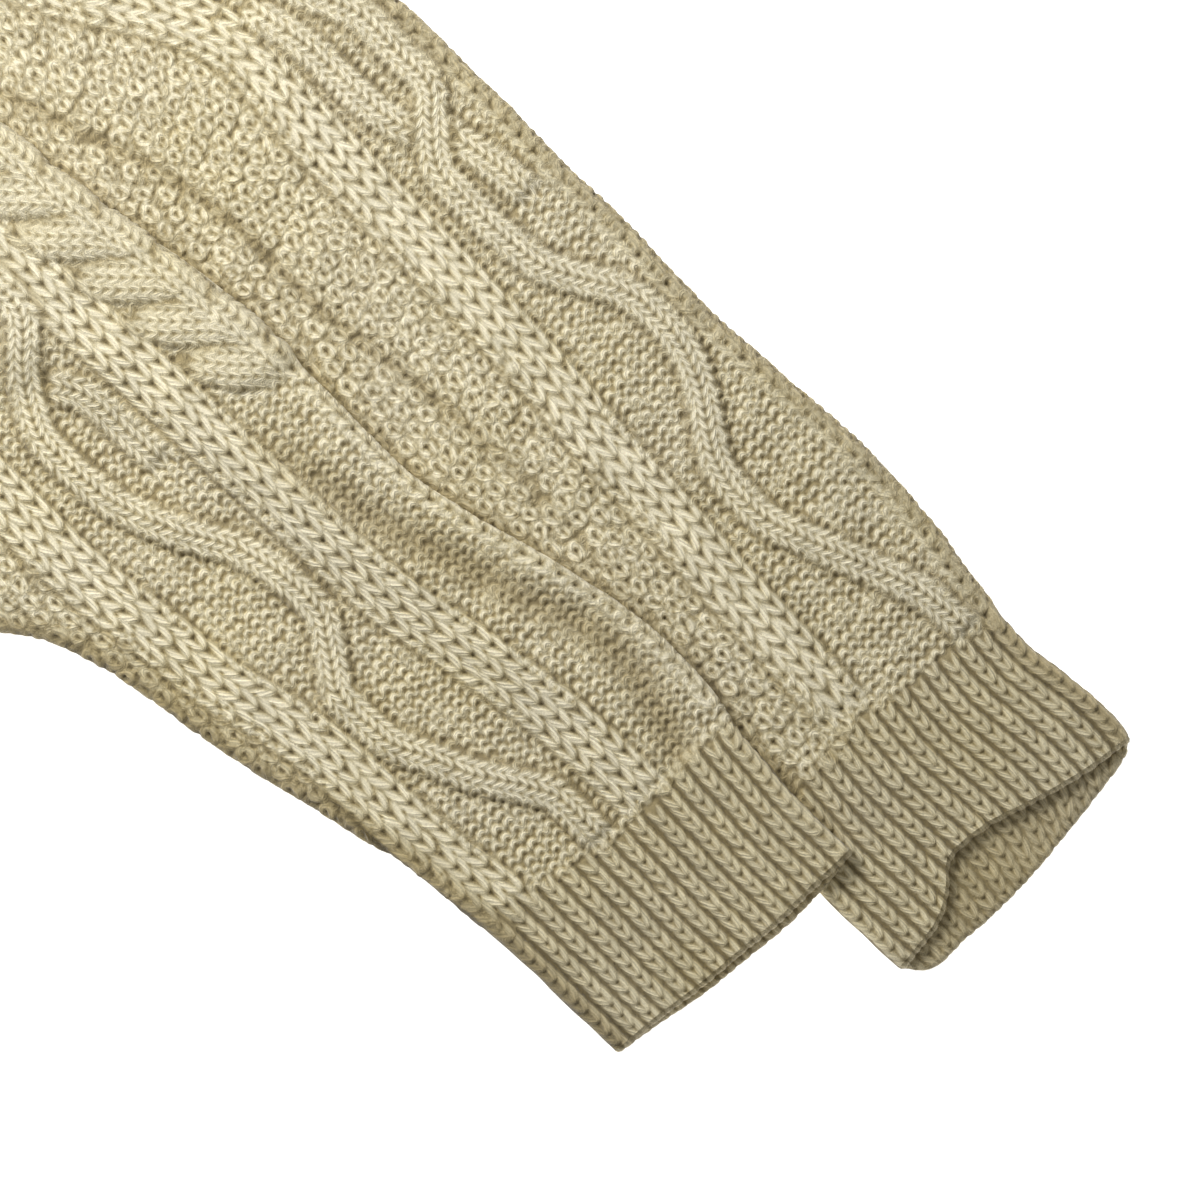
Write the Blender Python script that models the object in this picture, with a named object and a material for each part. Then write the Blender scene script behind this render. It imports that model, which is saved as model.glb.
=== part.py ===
"""Cable knit pullover, folded in half lengthwise with its front outside, laid flat.

All sizes below are millimetres; the meshes are made in metres. The body's fold is at
-X and its hem at -Y, and both sleeves lie to +X, the upper one partly over the lower
one. z = 0 is the surface the pullover lies on. The fold is off centre, so the lower
half shows a strip beside the upper half, and the lower sleeve shows beside the upper.
"""

import math
from collections import namedtuple

import bmesh
import bpy

METRES = 0.001
SEAM = 0.3  # gap between pieces where a seam joins them

# ---- body, as the maker measures it flat
HALF_CHEST = 260.0  # centre front to side seam
FOLD_AT = 44.0  # distance from centre front to the fold, towards the upper half
FOLD_X = -357.2
HEM_Y = -338.6
HEM_RIB = 60.0
NECK_POINT_Y = 318.0  # where neck and shoulder meet
SHOULDER_DROP = 38.0
HALF_NECK = 95.0
FRONT_NECK_DEPTH = 63.0
BACK_NECK_DEPTH = 25.0
NECK_CURVE = 2.2  # power of the neckline's curve
NECKBAND = 25.0
NECK_RIBS = 8  # on the shown stretch of the neckband
NECK_SEAM, FOLD_SEAM = 0.9, 4.5  # gap from the panels to the band, and at the folds
BAND_UPRIGHT = 40.0  # the band runs straight up the fold, and leans this far from it
CLOTH = 3.6  # thickness of one layer of the knit
LAYER = CLOTH + SEAM  # one layer and the gap to the next
FOLD_ROOM = 1.0  # the inner fold lies this much further in than a layer

UPPER_SIDE_X = FOLD_X + HALF_CHEST - FOLD_AT
LOWER_SIDE_X = FOLD_X + HALF_CHEST + FOLD_AT

# Distances from the centre at which plain faces follow the neck and the shoulders.
UPPER_STOPS = (53.0, 62.0, 71.0, 80.0, 88.0, HALF_NECK, HALF_CHEST)
LOWER_STOPS = (20.0, 0.0, -20.0, -50.0, -75.0, -HALF_NECK, -HALF_CHEST)

# ---- relief of the stitch panels on the outer face
STRAND_RISE, STRAND_HALF = 2.2, 7.0
LADDER_RISE, LADDER_HALF = 1.0, 9.0
ROPE_RISE, ROPE_HALF, ROPE_TWIST, ROPE_GROOVE = 2.6, 14.0, 21.0, 0.9
RIB_RISE = 0.9
MASK_FADE = 6.0  # relief fades out this far from the piece that covers it

# ---- sleeves
SLEEVE_HEIGHT = 7.5  # two layers and the air between them
SLEEVE_WALL = 3.2
CUFF_RIB = 56.0
RIBS = 15  # raised ribs on the shown face of a cuff
TOP_POINTS = 2 * RIBS
STATION = 11.0  # spacing of the sections along a sleeve
INNER_STATION = 34.0
GAPE_REACH = 60.0  # how far up the cuff its slanting hem is felt
REST_LIFT = 2 * CLOTH + 2 * SEAM + 0.2  # height of the upper sleeve over what it lies on
PLATEAU = 9.0  # the upper sleeve stays lifted this far past the lower one's edge
RAMP = 24.0  # and comes down to the surface over this width

Section = namedtuple("Section", "upper_x upper_y lower_x lower_y")
Guide = namedtuple("Guide", "along across")
Hem = namedtuple("Hem", "across top under")
NeckPoint = namedtuple("NeckPoint", "w depth x z rib turn")

# Sections run from the armhole to the cuff's end, from the upper to the lower edge.
UPPER_SECTIONS = [
    Section(UPPER_SIDE_X + SEAM, 280.4, UPPER_SIDE_X + SEAM, 72.5),
    Section(-76.9, 218.9, -76.9, 20.5),
    Section(-23.3, 175.8, -45.4, 6.3),
    Section(29.3, 135.5, -4.4, -2.5),
    Section(64.3, 109.3, 26.1, -10.1),
    Section(109.0, 69.3, 49.1, -25.2),
    Section(143.6, 37.2, 86.9, -53.6),
    Section(192.8, 10.1, 125.1, -74.7),
    Section(232.8, -33.7, 164.4, -89.8),
    Section(270.3, -72.5, 195.6, -135.5),
]
LOWER_SECTIONS = [
    Section(LOWER_SIDE_X + SEAM, 280.4, LOWER_SIDE_X + SEAM, 72.5),
    Section(39.7, 242.6, -10.0, 95.0),
    Section(127.9, 195.3, 39.7, 91.4),
    Section(160.0, 164.7, 83.8, 61.4),
    Section(208.2, 115.0, 134.2, 28.4),
    Section(253.9, 72.5, 178.3, -6.3),
    Section(289.2, 37.8, 219.2, -41.0),
    Section(317.8, 0.9, 250.7, -75.6),
    Section(357.2, -36.2, 287.0, -111.2),
]

# Guides are the middle lines of raised panels, in the sleeve's own frame: along it from
# the middle of the cuff's end, and across it towards the upper edge.
UPPER_LADDERS = [
    [Guide(509, -8), Guide(315, 2), Guide(252, 4), Guide(157, 6), Guide(126, 11),
     Guide(94, 15), Guide(60, 16)],
    [Guide(460, -60), Guide(252, -55), Guide(189, -52), Guide(126, -43), Guide(63, -38)],
]
UPPER_STRANDS = [
    [Guide(470, -16), Guide(440, -24), Guide(410, -38), Guide(385, -36), Guide(360, -16),
     Guide(330, -9), Guide(302, -8), Guide(285, -24), Guide(268, -33), Guide(233, -30),
     Guide(202, -16), Guide(170, -12), Guide(146, -27), Guide(126, -27), Guide(98, -16),
     Guide(74, -3), Guide(54, -3)],
    [Guide(277, -19), Guide(252, -13), Guide(236, -12)],
]
UPPER_ROPES = [[Guide(520, 9), Guide(315, 20), Guide(252, 28), Guide(235, 29)]]
LOWER_LADDERS = [
    [Guide(478, -60), Guide(409, -29), Guide(362, -2), Guide(252, -2), Guide(157, -5),
     Guide(63, -8)],
]
LOWER_STRANDS = [
    [Guide(440, -24), Guide(380, 12), Guide(331, 35), Guide(302, 34), Guide(283, 20),
     Guide(252, 19), Guide(227, 27), Guide(205, 36), Guide(180, 33), Guide(157, 19),
     Guide(132, 16), Guide(107, 26), Guide(82, 36), Guide(60, 38)],
    [Guide(334, 16), Guide(299, 20), Guide(280, 31), Guide(255, 34)],
]
# A cuff's hem, across it from the lower edge (0) to the upper (1): how far the layer on
# top and the layer under it are drawn back from the straight line between the corners.
UPPER_HEM = [Hem(0, 0, 0), Hem(0.18, -1.0, -3.3), Hem(0.5, -2.5, -5.5),
             Hem(0.83, -1.2, -3.8), Hem(1, 0, 0)]
LOWER_HEM = [Hem(0, 0, 0), Hem(0.05, 0, -5.0), Hem(0.2, 1.3, -7.9), Hem(0.27, 6.0, -9.0),
             Hem(0.35, 13.5, -9.5), Hem(0.5, 12.6, -9.8), Hem(0.65, 7.6, -8.8),
             Hem(0.8, 2.8, -6.9), Hem(0.95, 0, -4.4), Hem(1, 0, 0)]

UPPER_CUFF = (233.4, -104.6)  # middle of each cuff's end
LOWER_CUFF = (322.2, -74.0)
UPPER_HEADING = 43.5  # degrees that each sleeve points below +X
LOWER_HEADING = 46.0


# ---------------------------------------------------------------- small mathematics


def mix(a, b, share):
    return a + (b - a) * share


def smooth(share):
    share = min(max(share, 0.0), 1.0)
    return share * share * (3 - 2 * share)


def bump(distance, half):
    """A rounded ridge: 1 on its middle line, 0 from half its width out."""
    return math.sqrt(max(0.0, 1 - (distance / half) ** 2))


def lookup(rows, key, column):
    """The value of a column at a key, on straight lines between a table's rows."""
    for before, after in zip(rows, rows[1:]):
        if key <= after[0] or after is rows[-1]:
            share = (key - before[0]) / (after[0] - before[0])
            return mix(before[column], after[column], min(max(share, 0.0), 1.0))


def to_line(x, y, line):
    """Nearest approach to an open line: distance, signed by side, and place along it."""
    best = (1e9, 0.0, 0.0)
    walked = 0.0
    for (ax, ay), (bx, by) in zip(line, line[1:]):
        length = math.hypot(bx - ax, by - ay)
        ux, uy = (bx - ax) / length, (by - ay) / length
        place = min(max((x - ax) * ux + (y - ay) * uy, 0.0), length)
        gap = math.hypot(x - ax - place * ux, y - ay - place * uy)
        side = (y - ay) * ux - (x - ax) * uy
        if gap < best[0] - 1e-9:
            best = (gap, math.copysign(gap, side), walked + place)
        walked += length
    return best[1], best[2]


def upper_edge(sections):
    return [(row.upper_x, row.upper_y) for row in sections]


def lower_edge(sections):
    return [(row.lower_x, row.lower_y) for row in sections]


# ---------------------------------------------------------------- meshes


def zip_rims(mesh, first, second):
    """Faces between two rows of (place, vertex) that run side by side."""
    i = j = 0
    while i < len(first) - 1 or j < len(second) - 1:
        next_first = first[i + 1][0] if i < len(first) - 1 else math.inf
        next_second = second[j + 1][0] if j < len(second) - 1 else math.inf
        if next_first <= next_second:
            mesh.faces.new((first[i][1], first[i + 1][1], second[j][1]))
            i += 1
        else:
            mesh.faces.new((first[i][1], second[j + 1][1], second[j][1]))
            j += 1


def add_ring(mesh, points):
    return [mesh.verts.new([value * METRES for value in point]) for point in points]


def skin(mesh, rings, closed=True):
    """Quads between rings of the same count, each joined to the next."""
    for ring, following in zip(rings, rings[1:]):
        count = len(ring)
        for i in range(count if closed else count - 1):
            j = (i + 1) % count
            mesh.faces.new((ring[i], ring[j], following[j], following[i]))


def knit_material(name, colour):
    material = bpy.data.materials.new(name)
    material.use_nodes = True
    shader = material.node_tree.nodes["Principled BSDF"]
    shader.inputs["Base Color"].default_value = (*colour, 1)
    shader.inputs["Roughness"].default_value = 0.9
    return material


def finish(mesh, name, material, collection):
    bmesh.ops.recalc_face_normals(mesh, faces=mesh.faces)
    data = bpy.data.meshes.new(name)
    mesh.to_mesh(data)
    mesh.free()
    data.materials.append(material)
    data.shade_smooth()
    piece = bpy.data.objects.new(name, data)
    collection.objects.link(piece)
    return piece


# ---------------------------------------------------------------- sleeves


class Sleeve:
    """A flattened tube, lofted through its sections, with its stitch panels raised."""

    def __init__(self, sections, cuff, heading, hem, ladders, strands, ropes):
        self.sections = sections
        self.cuff = cuff
        angle = math.radians(heading)
        self.up = (-math.cos(angle), math.sin(angle))
        self.side = (math.sin(angle), math.cos(angle))
        self.hem = hem
        self.ladders, self.strands, self.ropes = ladders, strands, ropes

    def own_frame(self, x, y):
        dx, dy = x - self.cuff[0], y - self.cuff[1]
        along = dx * self.up[0] + dy * self.up[1]
        return along, dx * self.side[0] + dy * self.side[1]

    def stations(self, spacing):
        """Sections at about a spacing, as (upper point, lower point, way to the end)."""
        found = []
        rows = self.sections
        for row, following in zip(rows, rows[1:]):
            middle = [(row[0] + row[2]) / 2, (row[1] + row[3]) / 2]
            next_middle = [(following[0] + following[2]) / 2, (following[1] + following[3]) / 2]
            steps = max(1, round(math.dist(middle, next_middle) / spacing))
            found += [[mix(a, b, i / steps) for a, b in zip(row, following)] for i in range(steps)]
        found.append(list(rows[-1]))
        way = [0.0]
        for row, before in zip(found[-2::-1], found[::-1]):
            way.append(way[-1] + math.dist([(row[0] + row[2]) / 2, (row[1] + row[3]) / 2],
                                           [(before[0] + before[2]) / 2, (before[1] + before[3]) / 2]))
        return list(zip(found, way[::-1]))

    def place(self, row, way, across, layer):
        """A point of a layer on a section, drawn back where the hem slants."""
        x = mix(row[2], row[0], across)
        y = mix(row[3], row[1], across)
        if way < GAPE_REACH:
            drawn = lookup(self.hem, across, layer) * (1 - way / GAPE_REACH) ** 2
            x += self.up[0] * drawn
            y += self.up[1] * drawn
        return x, y

    def relief(self, x, y):
        along, across = self.own_frame(x, y)
        rise = 0.0
        for guide in self.ladders:
            away, _ = to_line(along, across, guide)
            rise = max(rise, LADDER_RISE * bump(away, LADDER_HALF))
        for guide in self.strands:
            away, _ = to_line(along, across, guide)
            rise = max(rise, STRAND_RISE * bump(away, STRAND_HALF))
        for guide in self.ropes:
            away, place = to_line(along, across, guide)
            turn = 2 * math.pi * (place / ROPE_TWIST + away / (2 * ROPE_HALF))
            groove = ROPE_GROOVE * (1 - abs(math.cos(turn / 2)))
            rise = max(rise, (ROPE_RISE - groove) * bump(away, ROPE_HALF))
        return rise


def rounded(height, from_edge):
    """Height of a flattened tube's upper face, near its round edge."""
    radius = height * 0.6
    reach = min(from_edge / radius, 1.0)
    return height / 2 + height / 2 * math.sqrt(1 - (1 - reach) ** 2)


def build_sleeve(name, sleeve, lift, covered, under_points, material, collection):
    """lift(x, y) is what the sleeve lies on; covered(x, y) is 0 where relief is left out."""
    mesh = bmesh.new()
    outer_rings, inner_rings = [], []
    stations = sleeve.stations(STATION)
    for row, way in stations:
        width = math.dist(row[:2], row[2:])
        ring = []
        for i in range(TOP_POINTS):
            across = (i + 0.5) / TOP_POINTS
            x, y = sleeve.place(row, way, across, 1)
            rib = smooth((CUFF_RIB + 4 - way) / 8)
            rise = mix(sleeve.relief(x, y), RIB_RISE * (i % 2), rib) * covered(x, y)
            from_edge = min(across, 1 - across) * width
            ring.append((x, y, lift(x, y) + rounded(SLEEVE_HEIGHT, from_edge) + rise))
        x, y = sleeve.place(row, way, 1.0, 1)
        ring.append((x, y, lift(x, y) + SLEEVE_HEIGHT / 2))
        inset = SLEEVE_HEIGHT * 0.45 / width
        for i in range(under_points):
            across = mix(1 - inset, inset, i / (under_points - 1))
            x, y = sleeve.place(row, way, across, 2)
            ring.append((x, y, lift(x, y)))
        x, y = sleeve.place(row, way, 0.0, 1)
        ring.append((x, y, lift(x, y) + SLEEVE_HEIGHT / 2))
        outer_rings.append(add_ring(mesh, ring))

    inner_points = under_points // 2 + 1
    for row, way in sleeve.stations(INNER_STATION):
        width = math.dist(row[:2], row[2:])
        inset = (SLEEVE_WALL + 1.0) / width
        ring = []
        for layer, height in ((1, SLEEVE_HEIGHT - SLEEVE_WALL), (2, SLEEVE_WALL)):
            ends = (inset, 1 - inset) if layer == 1 else (1 - inset, inset)
            for i in range(inner_points):
                x, y = sleeve.place(row, way, mix(*ends, i / (inner_points - 1)), layer)
                ring.append((x, y, lift(x, y) + height))
        inner_rings.append(add_ring(mesh, ring))

    skin(mesh, outer_rings)
    skin(mesh, [ring[::-1] for ring in inner_rings])
    outer_places = [(i + 0.5) / TOP_POINTS for i in range(TOP_POINTS)] + [1.0]
    outer_places += [1 + (i + 0.5) / under_points for i in range(under_points)] + [2.0]
    inner_places = [(i + 0.5) / inner_points for i in range(2 * inner_points)]
    for outer, inner in ((outer_rings[0], inner_rings[0]), (outer_rings[-1], inner_rings[-1])):
        outer_rim = list(zip(outer_places, outer)) + [(outer_places[0] + 2, outer[0])]
        inner_rim = list(zip(inner_places, inner)) + [(inner_places[0] + 2, inner[0])]
        zip_rims(mesh, outer_rim, inner_rim)
    return finish(mesh, name, material, collection)


# ---------------------------------------------------------------- body


def neckline(w, depth):
    """Height of a panel's end at a distance from its centre: neck curve, then shoulder."""
    w = abs(w)
    if w < HALF_NECK:
        return NECK_POINT_Y - depth * (1 - (w / HALF_NECK) ** NECK_CURVE)
    return NECK_POINT_Y - SHOULDER_DROP * (w - HALF_NECK) / (HALF_CHEST - HALF_NECK)


def upper_x(w):
    """Place of a lengthwise line of the upper half, from its distance to the centre."""
    return FOLD_X + w - FOLD_AT


def lower_x(w):
    return FOLD_X + FOLD_AT - w


BODY_ROPE, BODY_WAVE = 106.0, 53.0  # middle lines of the front's rope and wavy strand
BODY_LADDERS = (83.0, 129.0)
WAVE_SWING, WAVE_LENGTH = 13.0, 120.0
BODY_ROWS = 26
FOLD_TURNS = (130, 165, 195, 230)  # degrees round the fold, from the top to the floor


def front_relief(w, y):
    rise = max(LADDER_RISE * bump(w - ladder, LADDER_HALF) for ladder in BODY_LADDERS)
    strand = BODY_WAVE + WAVE_SWING * math.sin(2 * math.pi * y / WAVE_LENGTH)
    rise = max(rise, STRAND_RISE * bump(w - strand, STRAND_HALF))
    turn = math.pi * (y / ROPE_TWIST + (w - BODY_ROPE) / (2 * ROPE_HALF))
    groove = ROPE_GROOVE * (1 - abs(math.cos(turn)))
    return max(rise, (ROPE_RISE - groove) * bump(w - BODY_ROPE, ROPE_HALF))


def fold_w(x, angle):
    """Distance to the centre of a point on a fold, at an angle round it from +X."""
    return FOLD_AT + math.copysign(x - FOLD_X, math.sin(angle))


def body_rows():
    """Rows up the body: (height in the rib, share of the way from the rib to the end)."""
    rows = [(height, 0.0) for height in (0.0, HEM_RIB / 2, HEM_RIB - 3)]
    return rows + [(HEM_RIB, i / BODY_ROWS) for i in range(BODY_ROWS + 1)]


def body_y(row, w, depth):
    rib, share = row
    start = HEM_Y + rib
    return mix(start, neckline(w, depth), share)


FRONT_COLUMNS = 44
STRIP_COLUMNS = 12
ROUND_EDGE = 1.2  # the top face drops this far at a cut edge


def evenly(first, last, count):
    return [mix(first, last, i / count) for i in range(count + 1)]


def build_fold(name, floor, roof, left, depth, faces, relief, material, collection):
    """Two layers of a panel, one over the other, and the fold that joins them.

    faces holds the lengthwise lines, by their distance w to the panel's centre, of its
    four faces: top, floor, and the two inside, each in the order that they are met.
    relief(face, i, w, y, rib) is how far a point is raised.
    """
    mesh = bmesh.new()
    radius = (roof - floor) / 2
    middle = (left + radius, floor + radius)
    heights = {"top": roof, "floor": floor, "inner_floor": floor + CLOTH, "inner_top": roof - CLOTH}

    def face_points(face, row):
        where = upper_x if face in ("top", "inner_top") else lower_x
        for i, w in enumerate(faces[face]):
            y = body_y(row, w, depth)
            yield where(w), y, heights[face] + relief(face, i, w, y, row[0] < HEM_RIB)

    def fold_points(row, reach, turns):
        for degrees in turns:
            angle = math.radians(degrees)
            x = middle[0] + reach * math.cos(angle)
            yield x, body_y(row, fold_w(x, angle), depth), middle[1] + reach * math.sin(angle)

    rings = []
    for row in body_rows():
        outer = [*face_points("top", row), *fold_points(row, radius, FOLD_TURNS),
                 *face_points("floor", row)]
        inner = [*face_points("inner_floor", row),
                 *fold_points(row, radius - CLOTH, FOLD_TURNS[::-1]),
                 *face_points("inner_top", row)]
        rings.append((add_ring(mesh, outer), add_ring(mesh, inner)))
    skin(mesh, [outer + inner for outer, inner in rings])
    turn_places = [-FOLD_AT + 1 + i for i in range(len(FOLD_TURNS))]
    outer_places = [-w for w in faces["top"]] + turn_places
    outer_places += [FOLD_AT - w for w in faces["floor"]]
    inner_places = [-w for w in faces["inner_top"][::-1]] + turn_places
    inner_places += [FOLD_AT - w for w in faces["inner_floor"][::-1]]
    for outer, inner in (rings[0], rings[-1]):
        zip_rims(mesh, list(zip(outer_places, outer)), list(zip(inner_places, inner[::-1])))
    return finish(mesh, name, material, collection)


def build_front(material, collection):
    """The front: one layer on top, one on the surface."""
    roof = 3 * LAYER + CLOTH
    faces = {
        "top": evenly(HALF_CHEST, FOLD_AT + roof / 2, FRONT_COLUMNS),
        "floor": LOWER_STOPS,
        "inner_floor": LOWER_STOPS[::-1],
        "inner_top": UPPER_STOPS,
    }

    def relief(face, i, w, y, rib):
        if face != "top":
            return 0.0
        if i == 0:
            return -ROUND_EDGE
        return RIB_RISE * (i % 2) if rib else front_relief(w, y)

    return build_fold("front", 0.0, roof, FOLD_X, FRONT_NECK_DEPTH, faces, relief,
                      material, collection)


def build_back(material, collection):
    """The back: its two layers lie inside the front's, with a strip past the side."""
    strip = evenly(-HALF_CHEST, -HALF_CHEST + 2 * FOLD_AT, STRIP_COLUMNS)
    faces = {
        "top": UPPER_STOPS[::-1],
        "floor": LOWER_STOPS,
        "inner_floor": [*strip, *LOWER_STOPS[-2::-1]],
        "inner_top": UPPER_STOPS,
    }

    def relief(face, i, w, y, rib):
        if face != "inner_floor" or not rib or i >= STRIP_COLUMNS:
            return 0.0
        return RIB_RISE * (i % 2)

    return build_fold("back", LAYER, 2 * LAYER + CLOTH, FOLD_X + LAYER + FOLD_ROOM,
                      BACK_NECK_DEPTH, faces, relief, material, collection)


# ---------------------------------------------------------------- neckband


def neck_path():
    """The band's middle line round the folded neck, a row for each section."""
    front, back = FRONT_NECK_DEPTH, BACK_NECK_DEPTH
    levels = [CLOTH / 2 + i * LAYER for i in range(4)]
    corner = HALF_NECK - 2
    lower = [*LOWER_STOPS[:-2], -corner]
    upper = [*UPPER_STOPS[:-2], corner]
    path = []
    for i, w in enumerate(evenly(corner, UPPER_STOPS[0], NECK_RIBS * 2)):
        path.append(NeckPoint(w, back if i == 0 else front, upper_x(w), levels[3], i % 2, 1.0))
    path += neck_fold(front, FOLD_X + CLOTH / 2, levels[0], levels[3], (115, 155, 180, 205, 245))
    path += [NeckPoint(w, back if w == -corner else front, lower_x(w), levels[0], 0, -1.0)
             for w in lower]
    path += [NeckPoint(w, back, lower_x(w), levels[1], 0, -1.0) for w in lower[::-1]]
    left = FOLD_X + LAYER + FOLD_ROOM + CLOTH / 2
    path += neck_fold(back, left, levels[1], levels[2], (125, 180, 235))[::-1]
    path += [NeckPoint(w, back, upper_x(w), levels[2], 0, 1.0) for w in upper]
    return path


def neck_fold(depth, left, low, high, turns):
    """The band's sections round a fold, from the top down."""
    radius = (high - low) / 2
    points = []
    for degrees in turns:
        angle = math.radians(degrees)
        x = left + radius + radius * math.cos(angle)
        z = low + radius + radius * math.sin(angle)
        points.append(NeckPoint(fold_w(x, angle), depth, x, z, 0, math.sin(angle)))
    return points


def build_neckband(material, collection):
    mesh = bmesh.new()
    rings = []
    path = neck_path()
    count = len(path)
    for i, (w, depth, x, z, rib, turn) in enumerate(path):
        slope = depth * NECK_CURVE * abs(w / HALF_NECK) ** (NECK_CURVE - 1) / HALF_NECK
        length = math.hypot(slope, 1)
        upright = smooth((x - FOLD_X - LAYER) / BAND_UPRIGHT)
        out_x = -math.copysign(slope / length, w) * turn * upright
        out_y = math.sqrt(1 - out_x ** 2)
        y = neckline(w, depth)
        before, after = path[i - 1], path[(i + 1) % count]
        way_x, way_z = after[2] - before[2], after[3] - before[3]
        if abs(way_x) < 1e-6 and abs(way_z) < 1e-6:
            way_x = 1.0
        span = math.hypot(way_x, way_z)
        face_x, face_z = way_z / span, -way_x / span
        half = CLOTH / 2 - 0.1
        ring = []
        seam = mix(FOLD_SEAM, NECK_SEAM, upright)
        for across, side in ((seam, 1), (NECKBAND / 2, 1), (NECKBAND, 1),
                             (NECKBAND, -1), (seam, -1)):
            lift = half + (RIB_RISE * rib if side > 0 and depth == FRONT_NECK_DEPTH else 0)
            ring.append((x + out_x * across + side * lift * face_x, y + out_y * across,
                         z + side * lift * face_z))
        rings.append(add_ring(mesh, ring))
    skin(mesh, rings + rings[:1])
    return finish(mesh, "neckband", material, collection)


# ---------------------------------------------------------------- the pullover


def clear_scene():
    for item in list(bpy.data.objects):
        bpy.data.objects.remove(item)


def main():
    clear_scene()
    collection = bpy.data.collections.new("cable_knit_pullover")
    bpy.context.scene.collection.children.link(collection)
    cream = knit_material("cream_wool_knit", (0.60, 0.54, 0.39))

    upper = Sleeve(UPPER_SECTIONS, UPPER_CUFF, UPPER_HEADING, UPPER_HEM,
                   UPPER_LADDERS, UPPER_STRANDS, UPPER_ROPES)
    lower = Sleeve(LOWER_SECTIONS, LOWER_CUFF, LOWER_HEADING, LOWER_HEM,
                   LOWER_LADDERS, LOWER_STRANDS, [])
    beneath = lower_edge(LOWER_SECTIONS)
    cover = upper_edge(UPPER_SECTIONS)

    def on_lower(x, y):
        """Height under the upper sleeve: over the lower one, then down to the surface."""
        away = min(-to_line(x, y, beneath)[0], x - LOWER_SIDE_X)
        return REST_LIFT * (1 - smooth((away - PLATEAU) / RAMP))

    def bare(x, y):
        return smooth((to_line(x, y, cover)[0] - 1.0) / MASK_FADE)

    build_front(cream, collection)
    build_back(cream, collection)
    build_neckband(cream, collection)
    build_sleeve("sleeve_upper", upper, on_lower, lambda x, y: 1.0, 15, cream, collection)
    build_sleeve("sleeve_lower", lower, lambda x, y: 0.0, bare, 7, cream, collection)


main()
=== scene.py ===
"""Knitted cloth, yarn and a plain stage for a cable knit pullover that lies folded.

The pullover is folded in half lengthwise with its front outside, and both sleeves lie
to +X, the upper one partly over the lower one. Sizes in the tables are millimetres, and
the meshes are made in metres. Every stitch is laid as strands of yarn on a chart of the
flat cloth. The cloth's surface reads from that chart how high it is, how deep in a gap,
and how the plies of the yarn run.
"""

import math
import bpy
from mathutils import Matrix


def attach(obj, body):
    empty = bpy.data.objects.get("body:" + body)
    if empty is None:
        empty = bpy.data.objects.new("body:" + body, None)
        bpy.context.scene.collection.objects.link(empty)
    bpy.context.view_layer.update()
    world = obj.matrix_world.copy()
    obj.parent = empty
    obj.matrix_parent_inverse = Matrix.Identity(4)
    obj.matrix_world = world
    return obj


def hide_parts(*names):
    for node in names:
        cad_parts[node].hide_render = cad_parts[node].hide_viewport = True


bl_info = {
    "name": "Cable Knit Pullover",
    "version": (1, 0, 0),
    "blender": (4, 5, 0),
    "location": "View3D > Sidebar > Pullover",
    "description": "Knitted cloth, yarn and a plain stage for a folded cable knit pullover",
    "category": "Object",
}

from collections import namedtuple
from functools import partial

import bmesh
import bpy
import numpy as np
from bpy.props import FloatProperty, FloatVectorProperty, IntProperty, PointerProperty
from mathutils import Vector

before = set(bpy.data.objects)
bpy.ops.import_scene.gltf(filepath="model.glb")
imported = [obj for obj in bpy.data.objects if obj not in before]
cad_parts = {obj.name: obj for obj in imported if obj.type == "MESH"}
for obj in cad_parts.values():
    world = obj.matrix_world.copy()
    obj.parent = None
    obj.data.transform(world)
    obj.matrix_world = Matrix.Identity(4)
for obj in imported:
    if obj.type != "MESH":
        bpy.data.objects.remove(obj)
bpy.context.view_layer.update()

MM = 0.001
BODY = "root"
YARN_MATERIAL = "undyed_wool_knit"

# ---- the flattened sleeves, in the frames of their cuffs: across towards the upper
# edge, and along from the middle of the cuff's end up to the armhole
Spot = namedtuple("Spot", "along across")
Hem = namedtuple("Hem", "share top under")


def course(*pairs):
    """A line on a sleeve's chart, from pairs of places along and across it."""
    return [Spot(*pair) for pair in pairs]


UPPER_RIGHT = course(
    (-12, 47.8), (0, 48.3), (20, 48.4), (35, 50), (47, 51.2), (60, 54.2), (75, 56), (90, 55.4),
    (108, 53.6), (126, 49.6), (142, 46), (158, 42), (178, 39), (198, 39), (220, 39.8),
    (240, 40.3), (260, 40), (280, 37.8), (300, 34.6), (315, 33), (331, 31.2), (347, 29.2),
    (380, 26.7), (448, 21), (536.5, 21.6))
UPPER_LEFT = course(
    (-12, -47.8), (8, -48.7), (31.5, -48.6), (63, -49.3), (94.5, -51.8), (116.6, -56.5),
    (142, -61.6), (157.5, -64.7), (189, -69.3), (205, -71.9), (220.5, -76.3), (230, -81),
    (237, -86), (262, -102), (279, -111.5), (311, -122.9), (393.4, -129.2))
LOWER_RIGHT = course(
    (-12, 44), (-4, 47.5), (2, 51.4), (8, 52.4), (16, 52.4), (31.5, 50.5), (44, 48.6), (57, 49),
    (63, 50.2), (79, 52), (94.5, 53.8), (116.6, 55.3), (142, 53.8), (157.5, 52.4), (173, 51),
    (189, 49.8), (205, 49.7), (220, 50.2), (236, 49.8), (252, 49), (283, 48.8), (315, 48),
    (328.7, 47.3), (350, 44.5), (380, 35), (424, 16.7), (470, -3), (515.5, -23.7))
LOWER_LEFT = course(
    (-12, -49), (0, -51.3), (15.8, -52.3), (34.7, -52.9), (60, -51.8), (95, -51.1),
    (149, -56.5), (204, -64.2), (263, -77.4), (315, -88.4), (352.5, -121.5), (366, -168.1))

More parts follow.
